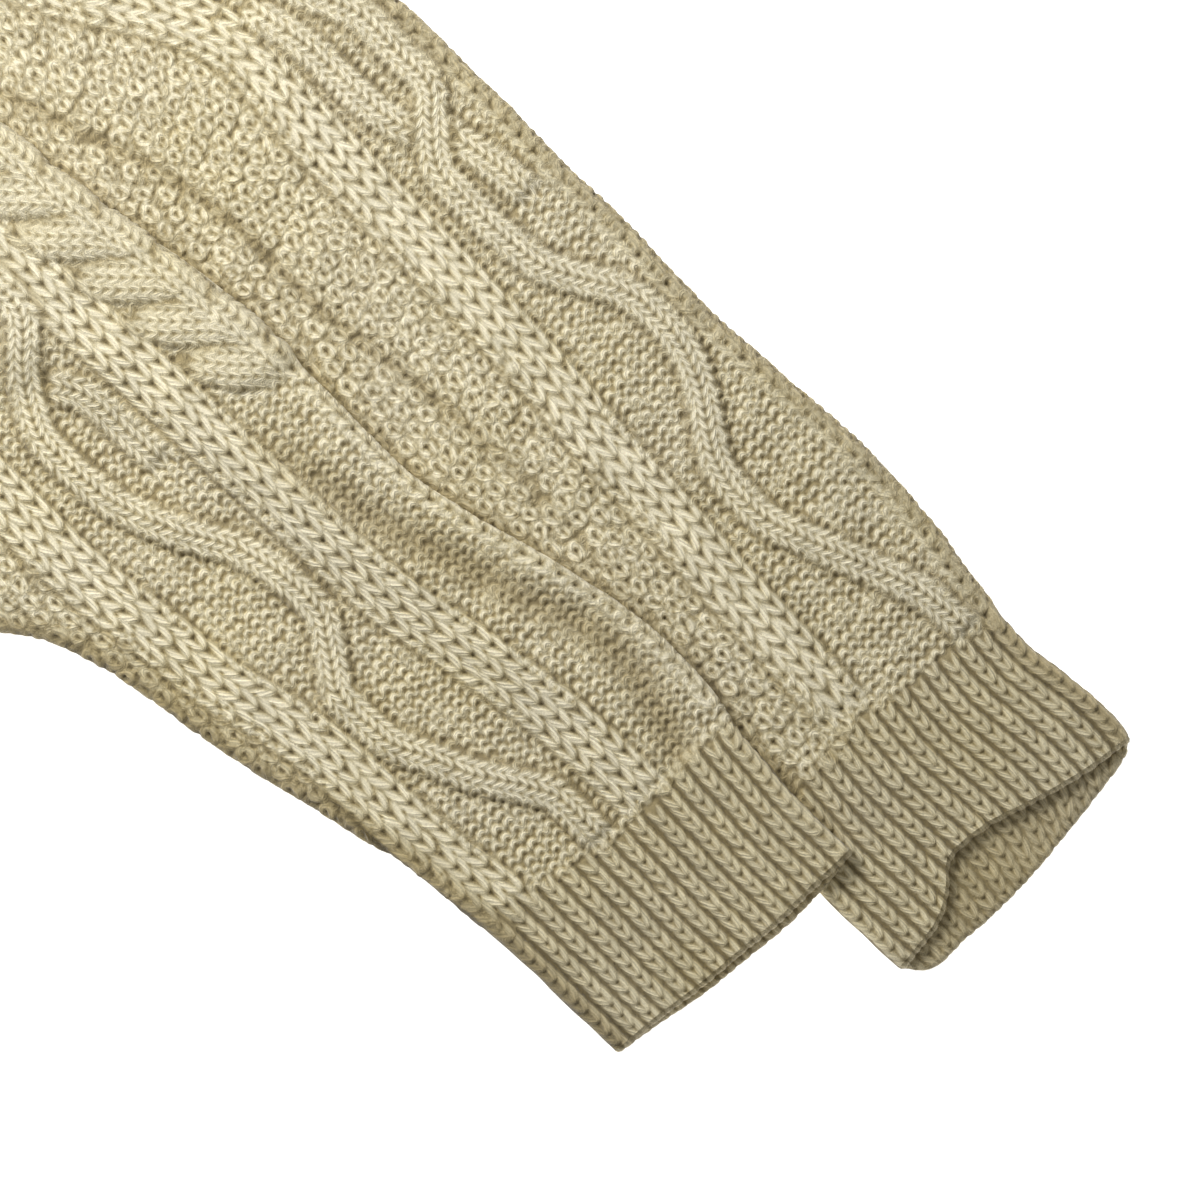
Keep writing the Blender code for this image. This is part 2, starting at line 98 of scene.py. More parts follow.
# How far a cuff's top and under layers are drawn back from its end, across it.
UPPER_HEM = [
    Hem(0, 3.9, 3.9), Hem(0.17, 2.0, 0.5), Hem(0.33, -0.9, -3.2), Hem(0.5, -2.9, -5.6),
    Hem(0.66, -4.6, -7.3), Hem(0.83, -5.2, -7.6), Hem(1, -6.3, -6.3),
]
LOWER_HEM = [
    Hem(0, -2.5, -2.5), Hem(0.07, -1.5, -8.9), Hem(0.2, 1.3, -9.8), Hem(0.27, 6.0, -10.3),
    Hem(0.35, 13.5, -10.5), Hem(0.5, 12.6, -9.9), Hem(0.65, 7.6, -8.0), Hem(0.83, 2.6, -5.3),
    Hem(0.95, 0.8, -2.8), Hem(1, 0, 0),
]

# Middle lines of the stitch panels, from the cuff up.
UPPER_LADDERS = [
    course((54, 16), (94, 15), (126, 11), (157, 6), (189, 5), (252, 4), (315, 2), (420, -3),
           (509, -8)),
    course((58, -38), (94, -41.9), (126, -43), (142, -44), (157, -46.3), (173, -50), (205, -53),
           (236, -56), (262, -55), (340, -58), (430, -62)),
]
UPPER_STRANDS = [
    course((54, -3), (74, -3), (85, -8), (98, -16), (113, -22), (126, -27), (146, -27),
           (158, -19), (170, -12), (189, -12.6), (202, -16), (217, -24), (233, -30), (246, -33),
           (268, -33), (285, -24), (302, -8), (330, -9), (360, -16), (385, -36), (410, -38),
           (440, -24), (490, -16)),
    course((236, -12), (252, -12.6), (271, -14.2), (279, -19)),
]
UPPER_ROPES = [
    course((225, 29.5), (252, 28), (268, 25.8), (283, 24.6), (315, 20.5), (400, 14), (520, 9)),
]
LOWER_LADDERS = [
    course((70, -8), (95, -7), (126, -6.3), (157, -4.7), (189, -3.8), (205, -2.4), (252, -1.6),
           (315, -1.6), (362, -2), (409, -29), (478, -60)),
]
LOWER_STRANDS = [
    course((60, 38.4), (82, 35.6), (94.5, 30.9), (107, 25.8), (120, 20.5), (132, 16.4),
           (145, 15.8), (157, 18.9), (167, 25.2), (176, 30.9), (189, 35.6), (205, 36.2),
           (217, 33), (227, 26.8), (236, 22), (252, 18.9), (268, 18.3), (283.5, 19.5),
           (293, 26.8), (302, 34.6), (315, 35.3), (331, 35.3), (350, 28), (380, 12), (440, -24)),
    course((255, 34), (268, 33), (280, 30.9), (290, 27.7), (299, 20.5), (315, 17.3),
           (334, 16.4), (360, 12)),
]
UNDERARM_SEAM = course(
    (80, -33), (116, -31), (158, -30), (199, -30), (226, -31.5), (244, -33.5), (261, -37),
    (285, -38.8), (313, -39.5), (346, -45.5), (362, -51.8), (395, -64), (420, -80))
UPPER_TROUGH = course(
    (38, 30), (58, 34.5), (77, 40.3), (97, 43), (110, 40.8), (121.7, 36.4), (157, 26.6),
    (175, 21), (215, 16), (240, 13))
UPPER_RIB_TOP = course(
    (64.6, -47), (59.9, -31.5), (57.3, -15.8), (52.9, 0), (52, 15.8), (53.6, 31.5), (52, 47))
LOWER_RIB_TOP = course((60, -52), (66, -10), (63, 10), (61.5, 30), (61.5, 52))

# ---- the body: w is the distance to the centre front, towards the upper half
HALF_CHEST = 260.0
FOLD_AT = 44.0
FOLD_X = -357.2
HEM_Y = -338.6
HEM_RIB = 60.0
NECK_POINT_Y = 318.0
SHOULDER_DROP = 38.0
HALF_NECK = 95.0
FRONT_NECK_DEPTH = 63.0
BACK_NECK_DEPTH = 25.0
NECK_CURVE = 2.2
NECKBAND = 25.0
CLOTH = 3.6  # one layer of the knit
LAYER = CLOTH + 0.3  # and the gap to the next
BODY_LADDERS = (83.0, 129.0)
BODY_ROPE, BODY_WAVE = 106.0, 53.0
WAVE_SWING, WAVE_LENGTH = 13.0, 120.0
LOWER_SIDE_X = FOLD_X + HALF_CHEST + FOLD_AT

# ---- raised panels, and how dark the painted shade in the creases beside them is
STRAND_RISE, STRAND_HALF, STRAND_SHADE = 2.6, 6.4, 0.42
LADDER_RISE, LADDER_HALF, LADDER_SHADE = 1.0, 9.0, 0.48
ROPE_RISE, ROPE_HALF, ROPE_TWIST = 3.4, 13.4, 22.0
RIB_RISE = 0.9
PANEL_END = 5.0  # length over which a panel rises from the ground
CREASE_WIDTH = 1.1
CREASE_INSET = 1.2  # how far a crease reaches in over its panel
# the seam and the trough also get painted shade along their middle
SEAM_SUNK, SEAM_WIDTH, SEAM_SHADE, SEAM_SHADE_WIDTH = 1.6, 2.0, 0.42, 2.1
SEAM_PULLED, SEAM_FADE = 170.0, 60.0  # where along the sleeve its seam starts to be pulled in
SEAM_LEAST = 0.25  # share of that pull nearer to the cuff
TROUGH_DEPTH, TROUGH_WIDTH, TROUGH_SHADE = 3.2, 5.4, 0.46
TROUGH_START, TROUGH_FADE = 25.0, 60.0


# ---------------------------------------------------------------- small mathematics


def smooth(share):
    """Eases a share in and out between 0 and 1."""
    share = np.clip(share, 0.0, 1.0)
    return share * share * (3 - 2 * share)


def mix(a, b, share):
    """The value a share of the way from a to b."""
    return a + (b - a) * share


def bump(distance, half):
    """A rounded ridge: 1 on its middle line, 0 from half its width out."""
    return np.sqrt(np.maximum(0.0, 1 - (distance / half) ** 2))


def bell(distance, width):
    """1 at a distance of 0, and soon 0 on both sides."""
    return np.exp(-(distance / width) ** 2)


def through(values, places, wanted):
    """A smooth curve through values at rising places, read at the wanted places."""
    places, values = np.asarray(places, float), np.asarray(values, float)
    steps = np.diff(values) / np.diff(places)
    slope = np.concatenate([steps[:1], (steps[1:] + steps[:-1]) / 2, steps[-1:]])
    slope[1:-1][steps[1:] * steps[:-1] <= 0] *= 0.35
    wanted = np.clip(wanted, places[0], places[-1])
    i = np.clip(np.searchsorted(places, wanted, side="right") - 1, 0, len(places) - 2)
    span = places[i + 1] - places[i]
    t = (wanted - places[i]) / span
    rise = values[i + 1] - values[i]
    bend = (slope[i] * span - rise) * (1 - t) - (slope[i + 1] * span - rise) * t
    return values[i] + rise * t + t * (1 - t) * bend


def read_edge(rows, along):
    """How far across a line lies at places along."""
    return through([row.across for row in rows], [row.along for row in rows], along)


class Line:
    """A smooth line on a chart, with evenly spaced points (across, along)."""

    def __init__(self, rows, spacing=1.0):
        low, high = rows[0].along, rows[-1].along
        along = np.linspace(low, high, int((high - low) / spacing) + 2)
        self.points = np.stack([read_edge(rows, along), along], axis=1)
        steps = np.hypot(*np.diff(self.points, axis=0).T)
        self.walked = np.concatenate([[0], np.cumsum(steps)])
        self.length = self.walked[-1]

    def at(self, place, offset=0.0):
        """Points at a distance along, with the directions to their right and onwards."""
        middle = self.read(place)
        onward = self.read(place + 0.5) - self.read(place - 0.5)
        onward /= np.maximum(np.hypot(*onward.T), 1e-9)[:, None]
        right = np.stack([onward[:, 1], -onward[:, 0]], axis=1)
        return middle + right * offset, right, onward

    def read(self, place):
        """Points at a distance along, also straight on past both ends."""
        place = np.asarray(place, float)
        found = [np.interp(place, self.walked, column) for column in self.points.T]
        spare = place - np.clip(place, 0, self.length)
        ends = np.where(spare < 0, 0, len(self.points) - 2)
        unit = self.points[ends + 1] - self.points[ends]
        unit /= np.hypot(*unit.T)[:, None]
        return np.stack(found, axis=1) + unit * spare[:, None]

    def near(self, points):
        """Distance of points to the line, positive to its right, and place along it."""
        thin = slice(None, None, 3)
        corners = np.concatenate([self.points[thin], self.points[-1:]])
        best = np.full(len(points), 1e9)
        side, place = np.zeros(len(points)), np.zeros(len(points))
        walked = 0.0
        for start, end in zip(corners, corners[1:]):
            length = math.hypot(*(end - start))
            if length < 1e-6:
                continue
            unit = (end - start) / length
            way = points - start
            on = np.clip(way @ unit, 0, length)
            gap = np.hypot(way[:, 0] - on * unit[0], way[:, 1] - on * unit[1])
            closer = gap < best
            best[closer] = gap[closer]
            side[closer] = way[closer, 0] * unit[1] - way[closer, 1] * unit[0]
            place[closer] = walked + on[closer]
            walked += length
        return np.copysign(best, side), place


def unevenness(x, y, size, seed):
    """Soft lumps of about a size, from -1 to 1, the same on each run."""
    draw = np.random.default_rng(seed)
    total = np.zeros(np.shape(x))
    for _ in range(7):
        heading, phase = draw.uniform(0, 2 * math.pi, 2)
        length = size * draw.uniform(0.7, 1.6)
        ahead = x * math.cos(heading) + y * math.sin(heading)
        total += np.sin(2 * math.pi * ahead / length + phase)
    return total / 4


# ---------------------------------------------------------------- stitches

# A strand of yarn in a stitch: where it starts and ends, how far its middle bows to the
# left, half its width, how round it stands, and how far it is raised. A hole is a small
# gap between strands, lowered a little and darkened with painted shade. A motif is one
# stitch, with how far it may turn and swell.
Strand = namedtuple("Strand", "start end bow half rise lift")
Hole = namedtuple("Hole", "spot across along depth")
Motif = namedtuple("Motif", "strands holes turn swell")

KNIT = Motif([  # one V of a raised strand, 5.2 mm wide
    Strand((-0.3, -2.6), (-2.35, 1.6), 0.3, 1.18, 0.95, 0.2),
    Strand((0.3, -2.6), (2.35, 1.6), -0.3, 1.18, 0.95, 0.2),
], [Hole((0, 0.5), 0.35, 0.7, 0.75), Hole((-2.6, -1.1), 0.42, 0.55, 0.75),
    Hole((2.6, -1.1), 0.42, 0.55, 0.75)], 0.05, 0.04)
LEFT_LEG = Motif(KNIT.strands[:1], [], 0.05, 0.04)
RIGHT_LEG = Motif(KNIT.strands[1:], [], 0.05, 0.04)
FINE_KNIT = Motif([  # one V of the rope, whose columns lie 3.9 mm apart
    Strand((-0.25, -2.7), (-1.72, 2.1), 0.25, 1.05, 0.95, 0.2),
    Strand((0.25, -2.7), (1.72, 2.1), -0.25, 1.05, 0.95, 0.2),
], [Hole((0, 0.5), 0.3, 0.6, 0.6)], 0.05, 0.05)
RIB = Motif([  # one V of a rib
    Strand((-0.4, -3.2), (-2.0, 2.4), 0.3, 1.28, 0.95, 0.0),
    Strand((0.4, -3.2), (2.1, 2.6), -0.35, 1.4, 1.1, 0.1),
], [Hole((0, 0.9), 0.35, 0.6, 0.5)], 0.08, 0.06)
LADDER = Motif([  # one long V of a ladder panel, 6.2 mm wide
    Strand((-0.4, -4.4), (-2.55, 3.2), 0.5, 1.7, 1.0, 0.2),
    Strand((0.4, -4.4), (2.55, 3.2), -0.5, 1.7, 1.0, 0.2),
], [Hole((0, 0.7), 0.55, 1.15, 1.3), Hole((3.1, -1.9), 0.45, 0.9, 1.1)], 0.07, 0.06)
PURL = Motif([  # one purl bump, and the dip to the next
    Strand((-1.5, -0.5), (1.5, -0.5), 1.35, 1.3, 1.2, 0.05),
    Strand((0.9, -0.1), (3.3, -0.1), -1.0, 1.2, 1.0, -0.08),
], [Hole((0.0, -1.45), 0.8, 0.42, 0.8), Hole((2.1, 0.5), 0.55, 0.42, 0.6)], 0.15, 0.09)
MOSS = Motif([  # one ring of double moss stitch, and the yarn between rings
    Strand((-2.8, -2.8), (2.6, -3.3), 0.7, 1.5, 0.8, -0.25),
    Strand((1.5, 1.9), (4.8, 1.2), -0.6, 1.5, 0.8, -0.25),
    Strand((-1.55, 0.0), (1.55, 0.0), 2.05, 1.6, 1.1, 0.0),
    Strand((-0.4, -3.9), (-1.9, 0.8), 0.55, 1.65, 1.2, 0.12),
    Strand((0.4, -3.9), (1.9, 0.8), -0.55, 1.65, 1.2, 0.12),
    Strand((2.1, -3.4), (4.6, -2.8), 0.7, 1.5, 0.9, -0.1),
], [Hole((0, -0.75), 0.5, 1.1, 1.15), Hole((3.2, -0.6), 0.6, 0.8, 0.95),
    Hole((-2.4, 3.0), 0.65, 0.55, 0.9), Hole((2.6, 3.2), 0.6, 0.5, 0.8)], 0.2, 0.1)
KNIT_PITCH, KNIT_WALE = 3.45, 5.2
FINE_PITCH, FINE_WALE = 3.8, 3.9
RIB_PITCH = 4.7
LADDER_PITCH, LADDER_WALE = 6.6, 6.2
PURL_WALE, PURL_ROW = 4.2, 3.34
STRAND_POINTS = 4  # on the middle line of a strand in a stitch
STAMPED_AT_ONCE = 300
PLY_LENGTH = 5.0  # one turn of the yarn's plies
# The crest sets painted light: a painted highlight on a strand's top and painted shade towards
# its sides, and bare cloth takes painted shade.
CREST_POWER = 0.8  # below 1, a strand is light over more of its width
GROUND_SUNK = 0.55  # how far the ground lies below where a panel covers it
BARE_CREST = 0.32  # crest of cloth that no strand covers
HOLE_DEPTH = 0.6  # how far the middle of a small hole is lowered

# An even repeat: columns across, repeats along, and how far each column starts further
# along and each repeat further across than the last.
Repeat = namedtuple("Repeat", "across along stagger lean")
PURLS = Repeat(PURL_WALE, PURL_ROW, 0.0, 0.0)
RINGS = Repeat(6.33, 6.7, 1.1, 1.67)
CLOSE_RINGS = Repeat(4.9, 7.2, 2.6, 0.3)


class Stitches:
    """Strands of yarn gathered for a chart, with a small unevenness of hand knitting."""

    def __init__(self, seed):
        self.draw = np.random.default_rng(seed)
        self.batches = []
        self.holes = []

    def add(self, motif, spots, right, onward, jitter, sunk=0.0):
        """Adds one stitch at each spot, turned to its directions right and onward."""
        count = len(spots)
        if not count:
            return
        turn = self.draw.normal(0, motif.turn, count)
        spots = spots + self.draw.normal(0, jitter, (count, 2))
        tone = np.clip(self.draw.normal(0, 0.5, count), -1, 1)
        size = 1 + self.draw.normal(0, motif.swell, count)
        cos, sin = np.cos(turn)[:, None], np.sin(turn)[:, None]
        right, onward = right * cos + onward * sin, onward * cos - right * sin
        t = np.linspace(0, 1, STRAND_POINTS)[:, None]
        for hole in [] if sunk >= GROUND_SUNK else motif.holes:
            middle = spots + hole.spot[0] * right + hole.spot[1] * onward
            dark = hole.depth * self.draw.uniform(0.45, 1.15, count)
            rows = [middle, right, np.full((count, 2), [hole.across, hole.along]), dark[:, None]]
            self.holes.append(np.concatenate(rows, axis=1))
        for strand in motif.strands:
            start, end = np.array(strand.start), np.array(strand.end)
            way = end - start
            left = np.array([-way[1], way[0]]) / math.hypot(*way)
            local = start + way * t + left * strand.bow * 4 * t * (1 - t)
            local = local[None] * size[:, None, None]
            points = (spots[:, None] + local[..., :1] * right[:, None]
                      + local[..., 1:] * onward[:, None])
            own = self.draw.normal(0, 0.35, count)
            fat = strand.half * size * (1 + self.draw.normal(0, 0.06, count))
            rise = strand.rise * (1 + self.draw.normal(0, 0.06, count))
            self.batches.append((points, fat, rise, np.full(count, strand.lift - sunk),
                                 np.clip(tone + own, -1, 1)))

    def column(self, motif, line, pitch, offset=0.0, last=None, jitter=0.12, keep=None,
               phase=None):
        """A column of stitches beside a line, only where keep(spots) is true."""
        last = line.length if last is None else last
        phase = self.draw.uniform(0, 0.6) if phase is None else phase
        places = np.arange(phase * pitch, last, pitch)
        spots, right, onward = line.at(places, offset)
        kept = np.ones(len(spots), bool) if keep is None else keep(spots)
        self.add(motif, spots[kept], right[kept], onward[kept], jitter)

    def field(self, motif, spots, jitter, sunk):
        """Stitches whose columns run straight along the cloth."""
        right = np.tile([1.0, 0.0], (len(spots), 1))
        onward = np.tile([0.0, 1.0], (len(spots), 1))
        self.add(motif, spots, right, onward, jitter, sunk)


class Chart:
    """The flat cloth's surface on even cells: yarn height, crests, plies and tone."""

    def __init__(self, low, high, cell, margin=8.0):
        self.low = np.array(low, float) - margin
        self.cell = cell
        columns, rows = np.ceil((np.array(high) + margin - self.low) / cell).astype(int)
        self.rise = np.zeros((rows, columns), np.float32)
        self.crest = np.full((rows, columns), BARE_CREST, np.float32)
        self.ply = np.zeros((rows, columns), np.float32)
        self.tone = np.zeros((rows, columns), np.float32)

    def lay(self, stitches):
        """Stamps every strand, a few hundred at a time, the highest one on top."""
        points, half, rise, lift, tone = (np.concatenate(part) for part in zip(*stitches.batches))
        spread = np.abs(points - points.mean(1, keepdims=True)).max() + half.max()
        window = int(math.ceil(spread / self.cell))
        size = 2 * window + 1
        corner = np.round((points.mean(1) - self.low) / self.cell).astype(int) - window
        room = self.rise.shape[1] - size, self.rise.shape[0] - size
        inside = np.all((corner >= 0) & (corner < room), axis=1)
        points, half, rise, lift, tone, corner = (
            part[inside] for part in (points, half, rise, lift, tone, corner))
        for start in range(0, len(points), STAMPED_AT_ONCE):
            part = slice(start, start + STAMPED_AT_ONCE)
            self.stamp(points[part], half[part], rise[part], lift[part], tone[part],
                       corner[part], size)

    def stamp(self, points, half, rise, lift, tone, corner, size):
        """Lays strands in their windows of cells, which start at these corners."""
        steps = np.arange(size) * self.cell
        x = (self.low[0] + corner[:, 0] * self.cell)[:, None, None] + steps[None, None, :]
        y = (self.low[1] + corner[:, 1] * self.cell)[:, None, None] + steps[None, :, None]
        best = np.full((len(points), size, size), 1e9)
        side, walked = np.zeros_like(best), np.zeros_like(best)
        pieces = STRAND_POINTS - 1
        for i in range(pieces):
            start, way = points[:, i], points[:, i + 1] - points[:, i]
            length = np.maximum(np.hypot(*way.T), 1e-6)[:, None, None]
            ux, uy = way[:, 0][:, None, None] / length, way[:, 1][:, None, None] / length
            dx, dy = x - start[:, 0][:, None, None], y - start[:, 1][:, None, None]
            on = np.clip(dx * ux + dy * uy, 0, length)
            gap = np.hypot(dx - on * ux, dy - on * uy)
            closer = gap < best
            best = np.where(closer, gap, best)
            side = np.where(closer, np.copysign(gap, dx * uy - dy * ux), side)
            walked = np.where(closer, (i + on / length) / pieces, walked)
        width = half[:, None, None] * np.sin(math.pi * (0.1 + 0.8 * walked)) ** 0.6
        share = side / width
        round_top = np.sqrt(np.maximum(0, 1 - share * share))
        height = lift[:, None, None] + rise[:, None, None] * round_top * (1.1 - 0.25 * walked)
        height[round_top <= 0] = -1
        # painted highlight along the strand's top, painted shade at its ends and on strands sunk
        # under a panel
        crest = round_top ** CREST_POWER * (1 - 0.3 * (2 * walked - 1) ** 4)
        crest *= 1 + np.minimum(lift, 0)[:, None, None]
        span = np.hypot(*np.diff(points, axis=1).transpose(2, 0, 1)).sum(1)[:, None, None]
        ply = 1.25 * share + walked * span / PLY_LENGTH + 0.5 * tone[:, None, None]
        for i, (column, row) in enumerate(corner):
            spot = slice(row, row + size), slice(column, column + size)
            over = height[i] > self.rise[spot]
            self.rise[spot][over] = height[i][over]
            self.crest[spot][over] = crest[i][over]
            self.ply[spot][over] = ply[i][over]
            self.tone[spot][over] = tone[i]

    def pierce(self, stitches):
        """Lowers the small holes between strands and darkens them with painted shade."""
        holes = np.concatenate(stitches.holes)
        window = int(math.ceil(2.2 * holes[:, 4:6].max() / self.cell))
        size = 2 * window + 1
        corner = np.round((holes[:, :2] - self.low) / self.cell).astype(int) - window
        room = self.rise.shape[1] - size, self.rise.shape[0] - size
        inside = np.all((corner >= 0) & (corner < room), axis=1)
        holes, corner = holes[inside], corner[inside]
        steps = np.arange(size) * self.cell
        for (x, y, right_x, right_y, across, along, dark), (column, row) in zip(holes, corner):
            dx = (self.low[0] + column * self.cell - x + steps)[None]
            dy = (self.low[1] + row * self.cell - y + steps)[:, None]
            u = (dx * right_x + dy * right_y) / across
            v = (dy * right_x - dx * right_y) / along
            deep = min(dark, 1.0) * np.exp(-u * u - v * v)
            spot = slice(row, row + size), slice(column, column + size)
            self.crest[spot] *= 1 - deep
            self.rise[spot] -= HOLE_DEPTH * deep

    def soften(self):
        """Rounds the creases between strands by about a cell."""
        for axis in (0, 1):
            before, after = np.roll(self.rise, 1, axis), np.roll(self.rise, -1, axis)
            self.rise[:] = self.rise * 0.5 + (before + after) * 0.25

    def read(self, across, along):
        """Height, crest, ply and tone of the yarn at points."""
        x = np.clip((across - self.low[0]) / self.cell, 0, self.rise.shape[1] - 1.001)
        y = np.clip((along - self.low[1]) / self.cell, 0, self.rise.shape[0] - 1.001)
        i, j = y.astype(int), x.astype(int)
        v, u = y - i, x - j

        def between(part):
            low = part[i, j] * (1 - u) + part[i, j + 1] * u
            high = part[i + 1, j] * (1 - u) + part[i + 1, j + 1] * u
            return low * (1 - v) + high * v

        nearest = np.round(y).astype(int), np.round(x).astype(int)
        return between(self.rise), between(self.crest), self.ply[nearest], self.tone[nearest]


def grid_of(low, high, repeat):
    """Spots of an even repeat that fill a rectangle of a chart."""
    count = math.ceil((high[1] - low[1]) / repeat.along)
    spare = abs(repeat.lean) * count
    columns = np.arange(low[0] - spare, high[0] + spare, repeat.across)
    u, v = np.meshgrid(np.arange(len(columns)), np.arange(count))
    up = (v * repeat.along + repeat.stagger * u) % (count * repeat.along)
    x = columns[u] + up / repeat.along * repeat.lean
    spots = np.stack([x.ravel(), low[1] + up.ravel()], axis=1)
    return spots[(spots[:, 0] > low[0]) & (spots[:, 0] < high[0])]


# One lobe of the rope, from its tip near the far edge up to its start under the lobe
# above, from the rope's middle line and the lobe's own place along it.
Bend = namedtuple("Bend", "across along half height")
ROPE_LOBE = [
    Bend(9.6, -31, 1.6, 0.3), Bend(8.9, -27, 3.6, 0.62), Bend(7.4, -20.5, 5.7, 0.9),
    Bend(4.4, -13.5, 7.8, 1.0), Bend(-1.5, -6.5, 8.6, 1.0), Bend(-7.0, 0.5, 7.6, 0.85),
    Bend(-10.5, 6.5, 5.0, 0.4),
]
ROPE_FIRST = 245.5  # place along the sleeve of the lobe nearest to the cuff
ROPE_FADE = 10.0  # length over which the rope rises from the ground at its start
ROPE_CUT = 4.0  # how far before the rope's start the bends of its first lobes may lie
ROPE_TILT = 0.35  # how much higher a lobe stands on its side towards the cuff
ROPE_SHOWN = 0.02  # share of its height from which the rope hides the ground

# Past its middle, the lobes of the rope run into one straight strand, which is drawn in
# where each lobe ends and has a notch of painted shade there.
FAR_RISE, FAR_MIDDLE, FAR_HALF, FAR_EDGE, FAR_DRAWN_IN = 0.86, 4.0, 7.6, 8.4, 2.4
FAR_COLUMNS = (12.0, 8.4, 4.8)
FAR_COLUMNS_FROM = 3.4  # where the lobes' own stitches end
TIP_AT, TIP_LENGTH = -27.0, 3.2
NOTCH_AT, NOTCH_SLANT, NOTCH_WIDTH, NOTCH_REACH, NOTCH_SHADE = 10.0, 1.1, 1.5, 7.0, 0.62
LOBES_OPEN, LOBES_OPEN_FADE = 4.5, 9.0  # how far across the rope its lobes part
# painted shade where lobes meet, painted shadow under a lobe's edge, and painted shade where a
# lobe turns down
LOBE_MEET_SHADE, LOBE_SHADOW, LOBE_TURNED = 0.6, 0.8, 0.42
LOBE_EDGE = 0.86  # where a lobe's edge darkens the next one, as a share of its half width
LOBE_REACH = 8.0  # how far from its middle line a lobe is looked for
LOBE_COLUMNS = (-1.9, -0.95, 0.0, 0.95, 1.9)  # from its middle line, in stitches


class Rope:
    """A cable of two strands that cross over each other, as a row of lobes."""

    def __init__(self, rows):
        self.line = Line(rows)
        self.low = rows[0].along
        middle = self.line.points
        self.lobes = []
        for place in np.arange(ROPE_FIRST, rows[-1].along, ROPE_TWIST):
            bends = [bend for bend in ROPE_LOBE if place + bend.along > self.low - ROPE_CUT]
            along = [place + bend.along for bend in bends]
            across = np.interp(along, middle[:, 1], middle[:, 0])
            across = across + [bend.across for bend in bends]
            lobe = Line([Spot(*spot) for spot in zip(along, across)])
            halves = np.interp(lobe.points[:, 1], along, [bend.half for bend in bends])
            heights = np.interp(lobe.points[:, 1], along, [bend.height for bend in bends])
            self.lobes.append((lobe, halves, heights))

    def shown(self, points):
        """How far the rope has risen from the ground at points, from 0 to 1."""
        return smooth((points[:, 1] - self.low) / ROPE_FADE)

    def top(self, points):
        """The highest lobe at points, with its height, and the height of the next one."""
        best = np.full(len(points), -1)
        height, second = np.zeros(len(points)), np.zeros(len(points))
        for i, (lobe, halves, heights) in enumerate(self.lobes):
            low, high = lobe.points.min(0) - LOBE_REACH, lobe.points.max(0) + LOBE_REACH
            spots = np.flatnonzero(np.all((points > low) & (points < high), axis=1))
            away, place = lobe.near(points[spots])
            share = np.clip(away / np.interp(place, lobe.walked, halves), -1, 1)
            found = np.interp(place, lobe.walked, heights) * np.sqrt(1 - share ** 2)
            found = found * (1 - ROPE_TILT * share)
            higher = found > height[spots]
            second[spots] = np.where(higher, height[spots], np.maximum(second[spots], found))
            best[spots[higher]] = i
            height[spots[higher]] = found[higher]
        shown = self.shown(points)
        return best, height * shown, second * shown

    def far_strand(self, points, away):
        """Height of the straight far strand, and where its notches of painted shade lie."""
        tip = ROPE_FIRST + TIP_AT
        ahead = (points[:, 1] - tip + ROPE_TWIST / 2) % ROPE_TWIST - ROPE_TWIST / 2
        half = np.where(away < FAR_MIDDLE, FAR_HALF,
                        FAR_EDGE - FAR_DRAWN_IN * bell(ahead, TIP_LENGTH))
        notch = bell(ahead - NOTCH_SLANT * (away - NOTCH_AT), NOTCH_WIDTH)
        notch *= smooth((away - 5.5) / 3.0) * (np.abs(ahead) < NOTCH_REACH)
        return FAR_RISE * bump(away - FAR_MIDDLE, half), notch

    def shadow(self, points, best):
        """How much painted shadow falls on points that lie just under the edge of the lobe above
        theirs.
        """
        dark = np.zeros(len(points))
        for i, (lobe, halves, _) in enumerate(self.lobes[1:]):
            spots = np.flatnonzero(best == i)
            over, place = lobe.near(points[spots])
            gap = -over - np.interp(place, lobe.walked, halves) * LOBE_EDGE
            inside = smooth(place / 6.0) * smooth((lobe.length - place) / 5.0)
            dark[spots] = inside * bell(gap, 1.9)
        return dark

    def form(self, points):
        """Share of the rope's height and the painted shade in its creases at points."""
        best, lobe, second = self.top(points)
        shown = self.shown(points)
        away = self.line.near(points)[0]
        strand, notch = self.far_strand(points, away)
        strand *= shown
        parted = smooth((LOBES_OPEN - away) / LOBES_OPEN_FADE)
        clear = smooth((lobe + 0.25 - strand) / 0.25)
        lobe = np.maximum(lobe, strand)
        # painted shade where lobes meet, painted shadow under the lobe above, and painted shade
        # on turned-down rims and notches
        meet = bell(lobe - second, 0.16) * smooth(second / 0.35) * parted * clear
        under = self.shadow(points, best) * parted * shown
        turned = LOBE_TURNED * np.clip(1 - lobe, 0, 1) ** 1.5 * shown
        crease_shade = np.maximum(LOBE_MEET_SHADE * meet, LOBE_SHADOW * under) + 0.05
        return lobe, np.maximum(crease_shade, np.maximum(NOTCH_SHADE * notch * shown, turned))

    def knit(self, stitches):
        """Lays the rope's stitches, along its lobes and then along its far strand."""
        for i, (lobe, _, _) in enumerate(self.lobes):
            def on_lobe(spots):
                """Which spots this lobe covers."""
                near = self.line.near(spots)[0] < FAR_COLUMNS_FROM
                return (self.top(spots)[0] == i) & (self.shown(spots) > 0.2) & near
            for offset in LOBE_COLUMNS:
                stitches.column(FINE_KNIT, lobe, FINE_PITCH, offset * FINE_WALE, keep=on_lobe)
        for offset in FAR_COLUMNS:
            stitches.column(FINE_KNIT, self.line, FINE_PITCH, offset,
                            keep=lambda spots: self.shown(spots) > 0.2)


